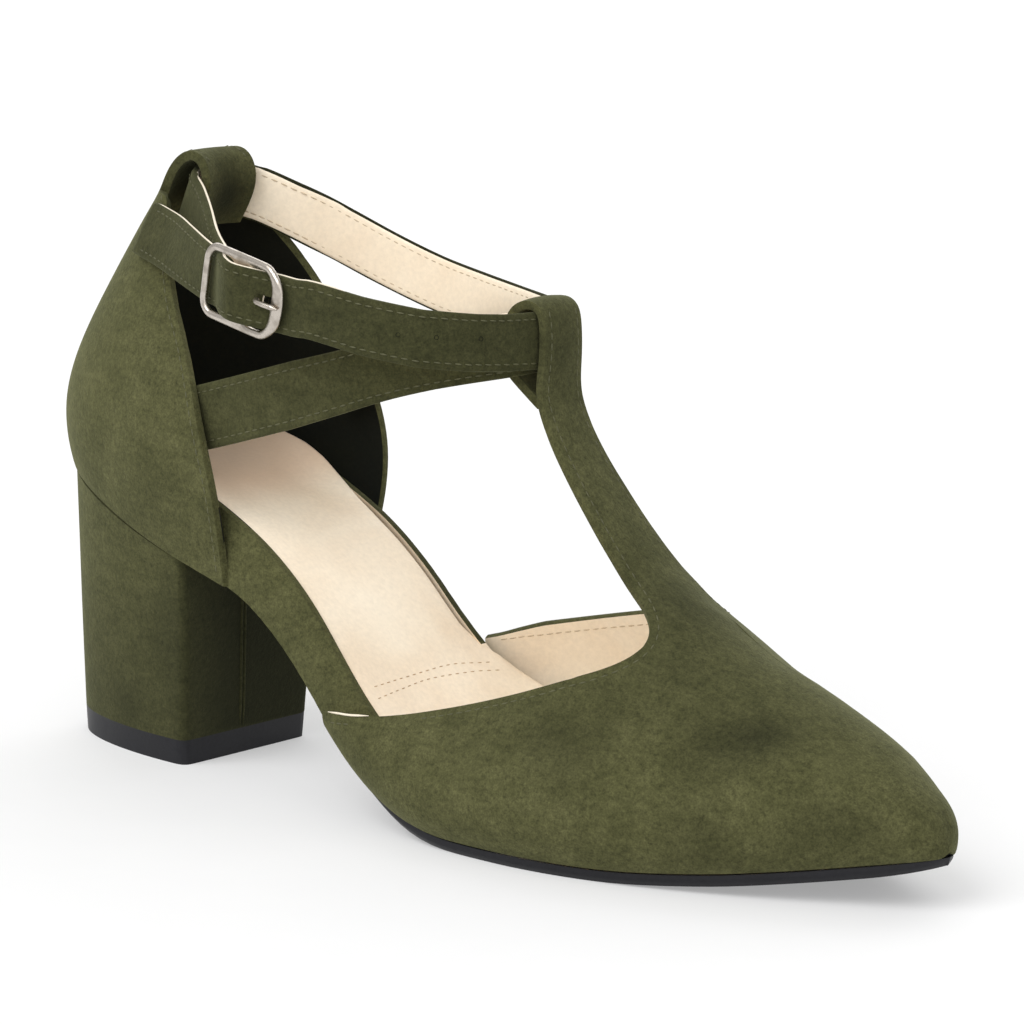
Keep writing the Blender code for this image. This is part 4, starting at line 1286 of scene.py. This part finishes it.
@dataclass
class Bottom:
    """Foot bed, sole, heel and its top piece.

    The tables give places along the shoe and the share of a move there.
    """

    edge_turn: float = 0.55
    # painted shade over the heel's front side, lightened by painted light near its outer corner
    breast_turn: float = 0.1
    breast_shade: float = 0.90
    corner_light: float = 0.26
    corner_side: float = -21.0
    corner_fade: float = 9.0
    # painted shade of the counter over the heel seat, fading out towards seat_front
    seat_front: float = 66.0
    seat_fade: float = 14.0
    seat_shade: float = 0.50
    cup_high: float = 2.6
    cup_wide: float = 1.8
    cup_from: float = 8.0
    cup_fade: float = 10.0
    cup_most: float = 1.2
    cup_inner: Table = ((18.0, 34.0, 48.0, 56.0, 64.0, 70.0, 78.0), (0.3, 1.0, 1.0, 0.86, 0.5, 0.2, 0.0))
    cup_outer: Table = ((18.0, 34.0, 48.0, 62.0), (0.3, 1.0, 1.0, 0.0))
    wing_high: float = 1.7
    wing_wide: float = 3.8
    wing_inner: Table = ((102.5, 106.5, 110.5, 124.0, 136.0), (0.0, 0.5, 1.0, 1.0, 0.0))
    heel_patches: list[Patch] = field(
        default_factory=lambda: [
            Patch((32.0, -22.0, 12.0), 8.0, 0.22),
            Patch((16.0, -19.0, 16.0), 8.0, 0.14),
            Patch((46.0, -22.5, 32.0), 9.0, 0.18),
            Patch((26.0, -23.0, 30.0), 8.0, 0.08),
            Patch((47.0, -22.0, 8.0), 5.0, -0.10),
            Patch((30.0, 22.0, 16.0), 9.0, 0.20),
            Patch((8.0, 4.0, 20.0), 10.0, 0.15),
            # painted shade along the heel's front corners
            Patch((53.0, -22.0, 8.0), 7.0, 0.22),
            Patch((53.5, -22.5, 20.0), 7.0, 0.24),
            Patch((54.0, -23.0, 32.0), 7.0, 0.24),
            Patch((54.5, -23.5, 43.0), 7.0, 0.24),
            Patch((54.0, 22.0, 22.0), 9.0, 0.22),
        ]
    )
    heel_nap: float = 0.14
    # painted shade towards the heel's bottom
    heel_low_shade: float = 0.40
    heel_tall: float = 44.0
    heel_corner: float = 2.4
    lift_rise: float = 0.35
    lift_top: float = 0.2
    tip_from: float = 232.0
    tip_long: float = 14.0
    tip_low: float = 6.55
    tip_slope: float = 0.145
    sole_thick: float = 2.7
    tip_rise: float = 1.1
    tip_back: float = 0.5
    tip_fill: float = 0.3

    def build(self, wardrobe: Wardrobe) -> tuple[bpy.types.Object, bpy.types.Object]:
        """Makes and dresses the four pieces.

        Args:
            wardrobe: finishes.

        Returns:
            The foot bed and the heel.
        """
        bed = self.foot_bed(wardrobe)
        self.tread(wardrobe)
        heel = self.covered_heel(wardrobe)
        self.top_piece(wardrobe)
        return bed, heel

    def foot_bed(self, wardrobe: Wardrobe) -> bpy.types.Object:
        """Makes the lined foot bed, with painted shade in a darker tan at the heel seat.

        Args:
            wardrobe: finishes.

        Returns:
            The finished piece.
        """
        bed = smooth_copy("insole", "lined_foot_bed", sharp=35.0, crease=0.6, levels=2)
        wear(bed, wardrobe.lining, wardrobe.raw_edge)
        places = vertex_places(bed)
        # painted shade at the heel seat
        seat = np.clip((self.seat_front - places[:, 0]) / self.seat_fade, 0.0, 1.0)
        write_nap_and_shade(bed, self.seat_shade * seat * seat * (3.0 - 2.0 * seat))
        set_places(bed, self.cupped(places))
        _, normals = face_places(bed)
        bed.data.polygons.foreach_set("material_index", (normals[:, 2] < self.edge_turn).astype(np.int32))
        return fasten(bed, Slot.LINING, "insole")

    def tread(self, wardrobe: Wardrobe) -> None:
        """Makes the black sole.

        Args:
            wardrobe: finishes.
        """
        sole = smooth_copy("outsole", "rubber_sole", sharp=22.0, crease=1.0, levels=1)
        self.turn_up(sole)
        wear(sole, wardrobe.rubber)
        fasten(sole, Slot.SOLE, "outsole")

    def covered_heel(self, wardrobe: Wardrobe) -> bpy.types.Object:
        """Makes the suede-covered heel.

        Args:
            wardrobe: finishes.

        Returns:
            The finished piece.
        """
        heel = smooth_copy("heel", "covered_heel", sharp=25.0, crease=1.0, levels=2, corner=self.heel_corner)
        self.brush_and_shade_heel(heel)
        wear(heel, wardrobe.suede)
        return fasten(heel, Slot.SUEDE, "heel")

    def top_piece(self, wardrobe: Wardrobe) -> None:
        """Makes the heel's black top piece and closes it to the heel.

        Args:
            wardrobe: finishes.
        """
        lift = smooth_copy(
            "heel_top_piece", "rubber_top_piece", sharp=25.0, crease=1.0, levels=1, corner=self.heel_corner
        )
        places = vertex_places(lift)
        places[:, 2] += self.lift_rise * (places[:, 2] > places[:, 2].max() - self.lift_top)
        set_places(lift, places)
        wear(lift, wardrobe.rubber)
        fasten(lift, Slot.SOLE, "heel_top_piece")

    def turn_up(self, sole: bpy.types.Object) -> None:
        """Rounds the lower edge of the sole's tip and closes its upper edge to the toe.

        Args:
            sole: the rounded sole.
        """
        places = vertex_places(sole)
        ahead = places[:, 0] - self.tip_from
        height = places[:, 2] - self.tip_low - self.tip_slope * ahead
        low = np.clip(1.0 - height / self.sole_thick, 0.0, 1.0)
        share = np.clip(ahead / self.tip_long, 0.0, 1.0) ** 2
        places[:, 0] -= self.tip_back * share * low
        places[:, 2] += share * (self.tip_rise * low + self.tip_fill * (1.0 - low))
        set_places(sole, places)

    def cupped(self, places: np.ndarray) -> np.ndarray:
        """Curls the edges of the seat up against the counter and spreads the front's inner edge to the vamp.

        Args:
            places: places on the foot bed in millimetres.

        Returns:
            The moved places.
        """
        x, y, _ = places.T
        share = np.where(y > 0.0, np.interp(x, *self.cup_inner), np.interp(x, *self.cup_outer))
        edge = np.clip((np.abs(y) - self.cup_from) / self.cup_fade, 0.0, self.cup_most) ** 2
        spread = np.where(y > 0.0, np.interp(x, *self.wing_inner), 0.0) * edge
        aside = self.cup_wide * share * edge * np.sign(y) + self.wing_wide * spread
        rise = self.cup_high * share * edge + self.wing_high * spread
        return places + np.column_stack([np.zeros_like(x), aside, rise])

    def brush_and_shade_heel(self, heel: bpy.types.Object) -> None:
        """Darkens the heel in patches, with painted shade along its front corners, towards its bottom and all over
        its front side, lightened near the outer corner.

        Args:
            heel: the rounded heel.
        """
        brush_and_shade(heel, self.heel_nap, self.heel_patches)
        nap_and_shade = read_nap_and_shade(heel)
        ahead = np.array([vertex.normal.x for vertex in heel.data.vertices])
        _, y, z = vertex_places(heel).T
        # painted shade growing towards the bottom
        nap_and_shade += self.heel_low_shade * np.clip(1.0 - z / self.heel_tall, 0.0, 1.0)
        # painted shade over the front side, with painted light near the outer corner
        front = np.clip((ahead - self.breast_turn) / (1.0 - self.breast_turn), 0.0, 1.0)
        shade = self.breast_shade - self.corner_light * np.exp(-(((y - self.corner_side) / self.corner_fade) ** 2))
        nap_and_shade += front * (shade - nap_and_shade)
        write_nap_and_shade(heel, nap_and_shade)


@dataclass
class Buckle:
    """Nickel frame with its prong, which hooks round the bar, comes up through the strap and rests on the front."""

    middle: Point = (79.3, -36.9, 114.6)
    yaw: float = -8.6
    pitch: float = 8.2
    hook_radius: float = 2.25
    hook_turns: tuple[float, ...] = (-150.0, -127.0, -104.0, -81.0, -58.0, -35.0)
    rise: tuple[tuple[float, float], ...] = (
        (4.2, -2.3),
        (5.0, -1.6),
        (6.0, 0.4),
        (7.4, 1.75),
        (9.5, 1.9),
        (12.0, 1.6),
        (14.0, 1.35),
    )
    prong_radius: float = 0.65
    prong_step: float = 0.5
    half_high: float = 8.6
    front_line: float = 11.9
    front_band: float = 1.4
    front_bow: float = 0.25
    front_growth: float = 0.6
    corner_from: float = 7.0
    corner_long: float = 5.0
    corner_pull: float = 0.7

    def build(self, wardrobe: Wardrobe) -> None:
        """Makes and dresses the buckle.

        Args:
            wardrobe: finishes.
        """
        rim = smooth_copy("buckle_frame", "nickel_frame", sharp=70.0, crease=0.5, levels=2, quads=False)
        set_places(rim, self.bowed(vertex_places(rim)))
        wear(rim, wardrobe.nickel)
        fasten(rim, Slot.BUCKLE, "buckle_frame")
        prong = rod("nickel_prong", through(self.prong_line(), self.prong_step), self.prong_radius)
        wear(prong, wardrobe.nickel)
        fasten(prong, Slot.BUCKLE, "buckle_prong")

    def axes(self) -> tuple[np.ndarray, np.ndarray]:
        """Finds the buckle's directions.

        Returns:
            The unit directions along the strap and away from the foot.
        """
        yaw = math.radians(self.yaw)
        pitch = math.radians(self.pitch)
        level = np.array([math.cos(yaw), math.sin(yaw), 0.0])
        along = level * math.cos(pitch) - np.array([0.0, 0.0, math.sin(pitch)])
        return along, np.array([math.sin(yaw), -math.cos(yaw), 0.0])

    def bowed(self, places: np.ndarray) -> np.ndarray:
        """Bows the frame's front side outwards, widens it and pulls its corners in.

        Args:
            places: places on the frame in millimetres.

        Returns:
            The moved places.
        """
        along, out = self.axes()
        gap = places - np.array(self.middle)
        ahead = gap @ along
        aside = (gap @ np.cross(along, out) / self.half_high) ** 2
        band = np.clip((ahead - self.front_line) / self.front_band, -1.0, 1.0)
        share = np.clip((ahead - self.corner_from) / self.corner_long, 0.0, 1.0)
        move = (1.0 - aside) * (self.front_bow + self.front_growth * band) - self.corner_pull * aside
        return places + np.outer(share * move, along)

    def prong_line(self) -> np.ndarray:
        """Finds the middle line of the prong.

        Returns:
            Places from the hook to the tip.
        """
        along, out = self.axes()
        hook = [(math.cos(turn), math.sin(turn)) for turn in np.radians(self.hook_turns)]
        reach = np.array([*(np.array(hook) * self.hook_radius), *self.rise])
        return np.array(self.middle) + np.outer(reach[:, 0], along) + np.outer(reach[:, 1], out)


# Places near the two ends of each stitched rim of the upper, from the bottom up
LATERAL_RIM = ((102.0, -33.0, 24.0), (138.0, -4.0, 113.0))
MEDIAL_RIM = ((104.0, 23.0, 33.0), (138.0, 9.0, 113.0))
COUNTER_LATERAL_RIM = ((68.0, -27.0, 45.0), (31.0, -8.0, 128.0))
COUNTER_MEDIAL_RIM = ((68.0, 25.0, 45.0), (32.0, 16.0, 128.0))
LOOP_LATERAL_RIM = ((28.0, -5.0, 132.0), (39.5, -5.0, 137.0))
LOOP_MEDIAL_RIM = ((28.0, 12.0, 132.0), (39.5, 11.0, 137.0))
RIMS = (LATERAL_RIM, MEDIAL_RIM, COUNTER_LATERAL_RIM, COUNTER_MEDIAL_RIM, LOOP_LATERAL_RIM, LOOP_MEDIAL_RIM)
VAMP_RIMS = slice(0, 2)
BED_ROWS = (
    ((108.4, -21.5, 28.4), (107.9, -9.9, 28.7), (108.2, 4.8, 29.2), (110.5, 15.5, 28.4)),
    ((110.9, -23.0, 26.5), (109.9, -14.2, 26.9), (109.6, -3.7, 27.7), (110.9, 9.4, 27.4), (112.6, 16.5, 26.8)),
)


@dataclass
class Pattern:
    """Small shape that is modelled once and copied."""

    points: np.ndarray
    faces: list[tuple[int, ...]]

    @classmethod
    def from_active(cls) -> "Pattern":
        """Takes over the active mesh object, measured in millimetres, and removes it.

        Returns:
            The shape.
        """
        source = bpy.context.object
        points = np.array([vertex.co[:] for vertex in source.data.vertices])
        faces = [tuple(face.vertices) for face in source.data.polygons]
        bpy.data.objects.remove(source)
        return cls(points, faces)

    def copies(self, name: str, rows: list[Stations]) -> bpy.types.Object:
        """Copies the shape to every station into one mesh.

        Args:
            name: name of the new piece.
            rows: stations; the shape's length lies along ahead and its height along up.

        Returns:
            The new piece, without materials.
        """
        points = []
        faces = []
        for row in rows:
            side = np.cross(row.up, row.ahead)
            for place, ahead, across, up in zip(row.place, row.ahead, side, row.up):
                start = len(points) * len(self.points)
                points.append(place + self.points @ np.array([ahead, across, up]))
                faces.extend(tuple(start + i for i in face) for face in self.faces)
        mesh = bpy.data.meshes.new(name)
        mesh.from_pydata(to_frame(np.concatenate(points)), [], faces)
        piece = bpy.data.objects.new(name, mesh)
        bpy.context.scene.collection.objects.link(piece)
        take(piece)
        bpy.ops.object.shade_smooth()
        return piece


@dataclass
class Surface:
    """Outside of a finished piece, to lay trims on."""

    piece: bpy.types.Object

    def __post_init__(self) -> None:
        """Sorts the faces for searching."""
        faces = [tuple(face.vertices) for face in self.piece.data.polygons]
        self.tree = BVHTree.FromPolygons([Vector(place) for place in vertex_places(self.piece)], faces)

    def nearest(self, places: np.ndarray) -> tuple[np.ndarray, np.ndarray, np.ndarray]:
        """Finds the nearest points of the piece.

        Args:
            places: places in millimetres.

        Returns:
            The nearest points, the normals there and how far they are.
        """
        hits = [self.tree.find_nearest(Vector(place)) for place in places]
        points, normals, _, away = zip(*hits)
        return np.array([point[:] for point in points]), np.array([n[:] for n in normals]), np.array(away)


@dataclass
class Edges:
    """Sharp edges of a solid of the frame, to follow from place to place."""

    node: str
    turn: float = 40.0

    def __post_init__(self) -> None:
        """Collects the edges at which two faces meet sharply."""
        build = bmesh.new()
        build.from_mesh(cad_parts[self.node].data)
        bmesh.ops.remove_doubles(build, verts=build.verts, dist=MERGE_GAP)
        build.verts.index_update()
        self.places = to_shoe([vertex.co[:] for vertex in build.verts])
        self.ways: dict[int, list[int]] = {}
        for edge in build.edges:
            if len(edge.link_faces) == 2 and edge.calc_face_angle(0.0) > math.radians(self.turn):
                one, other = (vertex.index for vertex in edge.verts)
                self.ways.setdefault(one, []).append(other)
                self.ways.setdefault(other, []).append(one)
        build.free()

    def nearest(self, place: Point) -> int:
        """Finds the vertex on a sharp edge that is nearest to a place."""
        marks = list(self.ways)
        return marks[int(np.argmin(np.linalg.norm(self.places[marks] - place, axis=1)))]

    def between(self, start: Point, end: Point) -> np.ndarray:
        """Follows the edges the shortest way.

        Args:
            start: place near the first vertex.
            end: place near the last vertex.

        Returns:
            Places of the vertices along the way.
        """
        first, last = self.nearest(start), self.nearest(end)
        came = {}
        queue = [(0.0, first, first)]
        while last not in came:
            run, here, before = heapq.heappop(queue)
            if here in came:
                continue
            came[here] = before
            for there in self.ways[here]:
                step = float(np.linalg.norm(self.places[there] - self.places[here]))
                heapq.heappush(queue, (run + step, there, here))
        way = [last]
        while way[-1] != first:
            way.append(came[way[-1]])
        return self.places[way[::-1]]


@dataclass
class Stitching:
    """Rows of stitches on the straps, along the rims of the upper and across the foot bed."""

    long: float = 1.8
    wide: float = 0.40
    high: float = 0.28
    pitch: float = 2.3
    inset: float = 1.9
    proud: float = 0.4
    wall: float = 2.2
    fine: float = 0.75
    skipped: int = 2
    lined_to: float = 165.5
    segments: int = 6
    rings: int = 4
    shape: Upper = field(default_factory=Upper)

    def build(self, wardrobe: Wardrobe, upper: bpy.types.Object, bed: bpy.types.Object, straps: list[Strap]) -> None:
        """Sews all rows.

        Args:
            wardrobe: finishes.
            upper: finished upper.
            bed: finished foot bed.
            straps: the straps.
        """
        suede = Surface(upper)
        edges = Edges("upper")
        rims = [self.shape.flared(edges.between(*rim)) for rim in RIMS]
        olive = [self.along_rim(suede, rim, Face.OUTSIDE) for rim in rims]
        cream = [self.along_rim(suede, self.lined(rim), Face.INSIDE) for rim in rims[VAMP_RIMS]]
        for strap in straps:
            olive += strap.rows(Face.OUTSIDE, self.pitch)
            cream += strap.rows(Face.INSIDE, self.pitch)
        pattern = self.stitch()
        self.sew(pattern, "olive_stitching", olive, wardrobe.olive_thread, Slot.SUEDE)
        self.sew(pattern, "cream_stitching", cream, wardrobe.cream_thread, Slot.LINING)
        leather = Surface(bed)
        tan = [self.across_bed(leather, row) for row in BED_ROWS]
        fine = Pattern(pattern.points * self.fine, pattern.faces)
        self.sew(fine, "tan_stitching", tan, wardrobe.tan_thread, Slot.LINING)

    def lined(self, rim: np.ndarray) -> np.ndarray:
        """First stretch of a rim, whose lining is seen from above."""
        return rim[: int(np.argmax(rim[:, 0] > self.lined_to))]

    def stitch(self) -> Pattern:
        """Models one stitch.

        Returns:
            The stitch, lying along x.
        """
        bpy.ops.object.select_all(action="DESELECT")
        bpy.ops.mesh.primitive_uv_sphere_add(segments=self.segments, ring_count=self.rings, radius=0.5)
        bpy.ops.object.mode_set(mode="EDIT")
        bpy.ops.mesh.select_all(action="SELECT")
        bpy.ops.transform.resize(value=(self.long, self.wide, self.high))
        bpy.ops.object.mode_set(mode="OBJECT")
        return Pattern.from_active()

    def sew(self, pattern: Pattern, name: str, rows: list[Stations], thread: bpy.types.Material, slot: Slot) -> None:
        """Makes one mesh of all stitches in a thread.

        Args:
            pattern: one stitch.
            name: name of the new piece.
            rows: where the stitches lie.
            thread: finish of the thread.
            slot: material slot, handed on to fasten.
        """
        piece = pattern.copies(name, rows)
        wear(piece, thread)
        fasten(piece, slot)

    def along_rim(self, suede: Surface, rim: np.ndarray, face: Face) -> Stations:
        """Lays a row beside a rim of the upper.

        Args:
            suede: the upper.
            rim: places along the rim.
            face: side of the leather.

        Returns:
            The row on the leather.
        """
        line = through(rim, self.pitch)[self.skipped :]
        ahead = unit(np.gradient(line, axis=0))
        heart = through(self.shape.axis, self.shape.axis_step)
        away = np.linalg.norm(line[:, None] - heart[None], axis=2)
        out = unit(line - heart[np.argmin(away, axis=1)])
        beside = unit(np.cross(out, ahead))
        lift = self.proud if face is Face.OUTSIDE else -self.wall
        sides = [suede.nearest(line + side * beside * self.inset + out * lift) for side in (1.0, -1.0)]
        points, normals, _ = min(sides, key=lambda found: found[2].sum())
        return Stations(points, ahead, normals, beside)

    def across_bed(self, leather: Surface, row: tuple[Point, ...]) -> Stations:
        """Lays a row across the foot bed.

        Args:
            leather: the foot bed.
            row: places along the row.

        Returns:
            The row on the leather.
        """
        line = through(list(row), self.pitch)
        points, normals, _ = leather.nearest(line)
        ahead = unit(np.gradient(points, axis=0))
        return Stations(points, ahead, normals, np.cross(normals, ahead))


@dataclass
class Trims:
    """Raw leather edges of the wings, the heel's seam and the punched holes of the strap."""

    edge_radius: float = 0.25
    edge_step: float = 1.0
    wing_edge: tuple[Point, ...] = (
        (104.6, -33.2, 23.9),
        (108.0, -33.7, 24.2),
        (112.0, -34.3, 24.6),
        (117.0, -34.1, 25.3),
    )
    seam_radius: float = 0.36
    seam_step: float = 1.5
    seam_half: float = 0.55
    seam_proud: float = 0.05
    # darkening of the heel seam, painted shade like that of the heel's front
    seam_shade: float = 0.62
    seam: tuple[Point, ...] = ((54.4, -4.0, 42.0), (53.2, -3.1, 27.1), (52.8, -2.5, 16.8), (52.4, -2.0, 6.4))
    hole_radius: float = 0.5
    hole_deep: float = 0.24
    hole_rim: float = 0.12
    hole_sink: float = 0.16
    hole_sides: int = 18
    level_turn: float = 0.9
    holes: tuple[Point, ...] = ((126.9, -27.1, 109.5), (131.6, -18.0, 108.9), (120.0, -31.6, 109.8))

    def build(self, wardrobe: Wardrobe, heel: bpy.types.Object, ankle: bpy.types.Object) -> None:
        """Makes and dresses the trims.

        Args:
            wardrobe: finishes.
            heel: finished heel.
            ankle: finished ankle strap.
        """
        edge = rod("raw_wing_edge", through(list(self.wing_edge), self.edge_step), self.edge_radius)
        wear(edge, wardrobe.raw_edge)
        fasten(edge, Slot.LINING)
        points, _, _ = Surface(heel).nearest(through(list(self.seam), self.seam_step))
        for number, aside in enumerate((-self.seam_half, self.seam_half)):
            beside = points + np.array([self.seam_proud, aside, 0.0])
            seam = rod(f"heel_seam_{number}", beside, self.seam_radius)
            # the seam's suede gets painted shade, as the heel's front does
            brush_and_shade(seam, self.seam_shade)
            wear(seam, wardrobe.suede)
            fasten(seam, Slot.SUEDE)
        self.punch(wardrobe, ankle)

    def punch(self, wardrobe: Wardrobe, ankle: bpy.types.Object) -> None:
        """Makes the punched holes as dark discs, which paint the shade inside them.

        Args:
            wardrobe: finishes.
            ankle: finished ankle strap.
        """
        bpy.ops.object.select_all(action="DESELECT")
        bpy.ops.mesh.primitive_cylinder_add(vertices=self.hole_sides, radius=self.hole_radius, depth=self.hole_deep)
        bpy.ops.object.mode_set(mode="EDIT")
        bpy.ops.mesh.select_all(action="DESELECT")
        build = bmesh.from_edit_mesh(bpy.context.object.data)
        for face in build.faces:
            face.select_set(face.normal.z > self.level_turn)
        bmesh.update_edit_mesh(bpy.context.object.data)
        bpy.ops.mesh.inset(thickness=self.hole_rim, depth=0.0)
        bpy.ops.transform.translate(value=(0.0, 0.0, -self.hole_sink))
        bpy.ops.object.mode_set(mode="OBJECT")
        pattern = Pattern.from_active()
        points, normals, _ = Surface(ankle).nearest(np.array(self.holes))
        ahead = unit(np.cross(normals, np.array([0.0, 0.0, 1.0])))
        holes = pattern.copies("punched_holes", [Stations(points, ahead, normals, ahead)])
        # dark discs as painted shade inside the holes
        wear(holes, wardrobe.dark_lining)
        fasten(holes, Slot.SUEDE)


@dataclass(frozen=True)
class Lamp:
    """Wide soft light far away: where it comes from, its width in degrees and its watts on a square metre."""

    name: str
    source: Point
    angle: float
    power: float

    def hang(self) -> None:
        """Hangs the light."""
        data = bpy.data.lights.new(self.name, "SUN")
        data.angle = math.radians(self.angle)
        data.energy = self.power
        lamp = bpy.data.objects.new(self.name, data)
        bpy.context.scene.collection.objects.link(lamp)
        lamp.rotation_euler = (-Vector(self.source)).to_track_quat("-Z", "Y").to_euler()


@dataclass
class Studio:
    """Floor, lights and camera."""

    azimuth: float = 38.0
    elevation: float = 11.2
    roll: float = 2.05
    distance: float = 1.15
    frame_share: float = 4.517
    sensor: float = 36.0
    target: Point = (123.0, 0.0, 60.0)
    slide: Pair = (4.2, 6.9)
    farthest: float = 40.0
    floor_side: float = 16.0
    room_light: float = 0.58
    lamps: tuple[Lamp, ...] = (
        Lamp("key_light", (-0.18, -0.85, 0.85), 46.0, 1.7),
        Lamp("fill_light", (0.8, -0.8, 0.6), 60.0, 0.65),
        Lamp("inner_side_light", (-0.5, 0.9, 0.7), 60.0, 1.1),
    )

    def build(self, wardrobe: Wardrobe) -> None:
        """Sets up the studio.

        Args:
            wardrobe: finishes.
        """
        self.floor(wardrobe)
        self.lights()
        self.camera()

    def floor(self, wardrobe: Wardrobe) -> None:
        """Lays the pale floor.

        Args:
            wardrobe: finishes.
        """
        bpy.ops.object.select_all(action="DESELECT")
        bpy.ops.mesh.primitive_plane_add(size=self.floor_side)
        floor = bpy.context.object
        floor.name = "studio_floor"
        wear(floor, wardrobe.floor)

    def lights(self) -> None:
        """Hangs the soft lights and whitens the surroundings."""
        world = bpy.data.worlds.new("white_room")
        bpy.context.scene.world = world
        world.use_nodes = True
        back = world.node_tree.nodes["Background"]
        back.inputs["Color"].default_value = (1.0, 1.0, 1.0, 1.0)
        back.inputs["Strength"].default_value = self.room_light
        for lamp in self.lamps:
            lamp.hang()
        view = bpy.context.scene.view_settings
        view.view_transform = "Standard"
        view.look = "None"

    def camera(self) -> None:
        """Sets the camera at the photo's angle."""
        a, e, r = (math.radians(angle) for angle in (self.azimuth, self.elevation, self.roll))
        back = Vector((math.sin(a) * math.cos(e), -math.cos(a) * math.cos(e), math.sin(e)))
        level = Vector((math.cos(a), math.sin(a), 0.0))
        high = back.cross(level)
        right = level * math.cos(r) + high * math.sin(r)
        up = high * math.cos(r) - level * math.sin(r)
        data = bpy.data.cameras.new("photo_camera")
        data.sensor_width = self.sensor
        data.lens = self.frame_share * self.sensor * self.distance / MM / PHOTO_SIDE
        data.clip_end = self.farthest
        camera = bpy.data.objects.new("photo_camera", data)
        bpy.context.scene.collection.objects.link(camera)
        aim = Vector(to_frame(np.array(self.target))) + (right * self.slide[0] + up * self.slide[1]) * MM
        place = Matrix((right, up, back)).transposed().to_4x4()
        place.translation = aim + back * self.distance
        camera.matrix_world = place
        bpy.context.scene.camera = camera


def main() -> None:
    """Builds the shoe's looks piece by piece."""
    logging.basicConfig(level=logging.INFO, format="%(message)s")
    wardrobe = Wardrobe()
    upper = Upper().build(wardrobe)
    straps = [
        Strap(
            "ankle_strap",
            "suede_ankle_strap",
            ANKLE_PATH,
            wide=12.6,
            ground=0.47,
            near_sag=1.6,
            near_line=0.30,
            far_line=0.52,
        ),
        Strap(
            "cross_strap", "suede_cross_strap", CROSS_PATH, wide=12.2, ground=0.36, far_rise=1.5, near_widening=0.2
        ),
    ]
    ankle, _ = [strap.build(wardrobe) for strap in straps]
    bed, heel = Bottom().build(wardrobe)
    Buckle().build(wardrobe)
    Stitching().build(wardrobe, upper, bed, straps)
    Trims().build(wardrobe, heel, ankle)
    Studio().build(wardrobe)


if __name__ == "__main__":
    main()
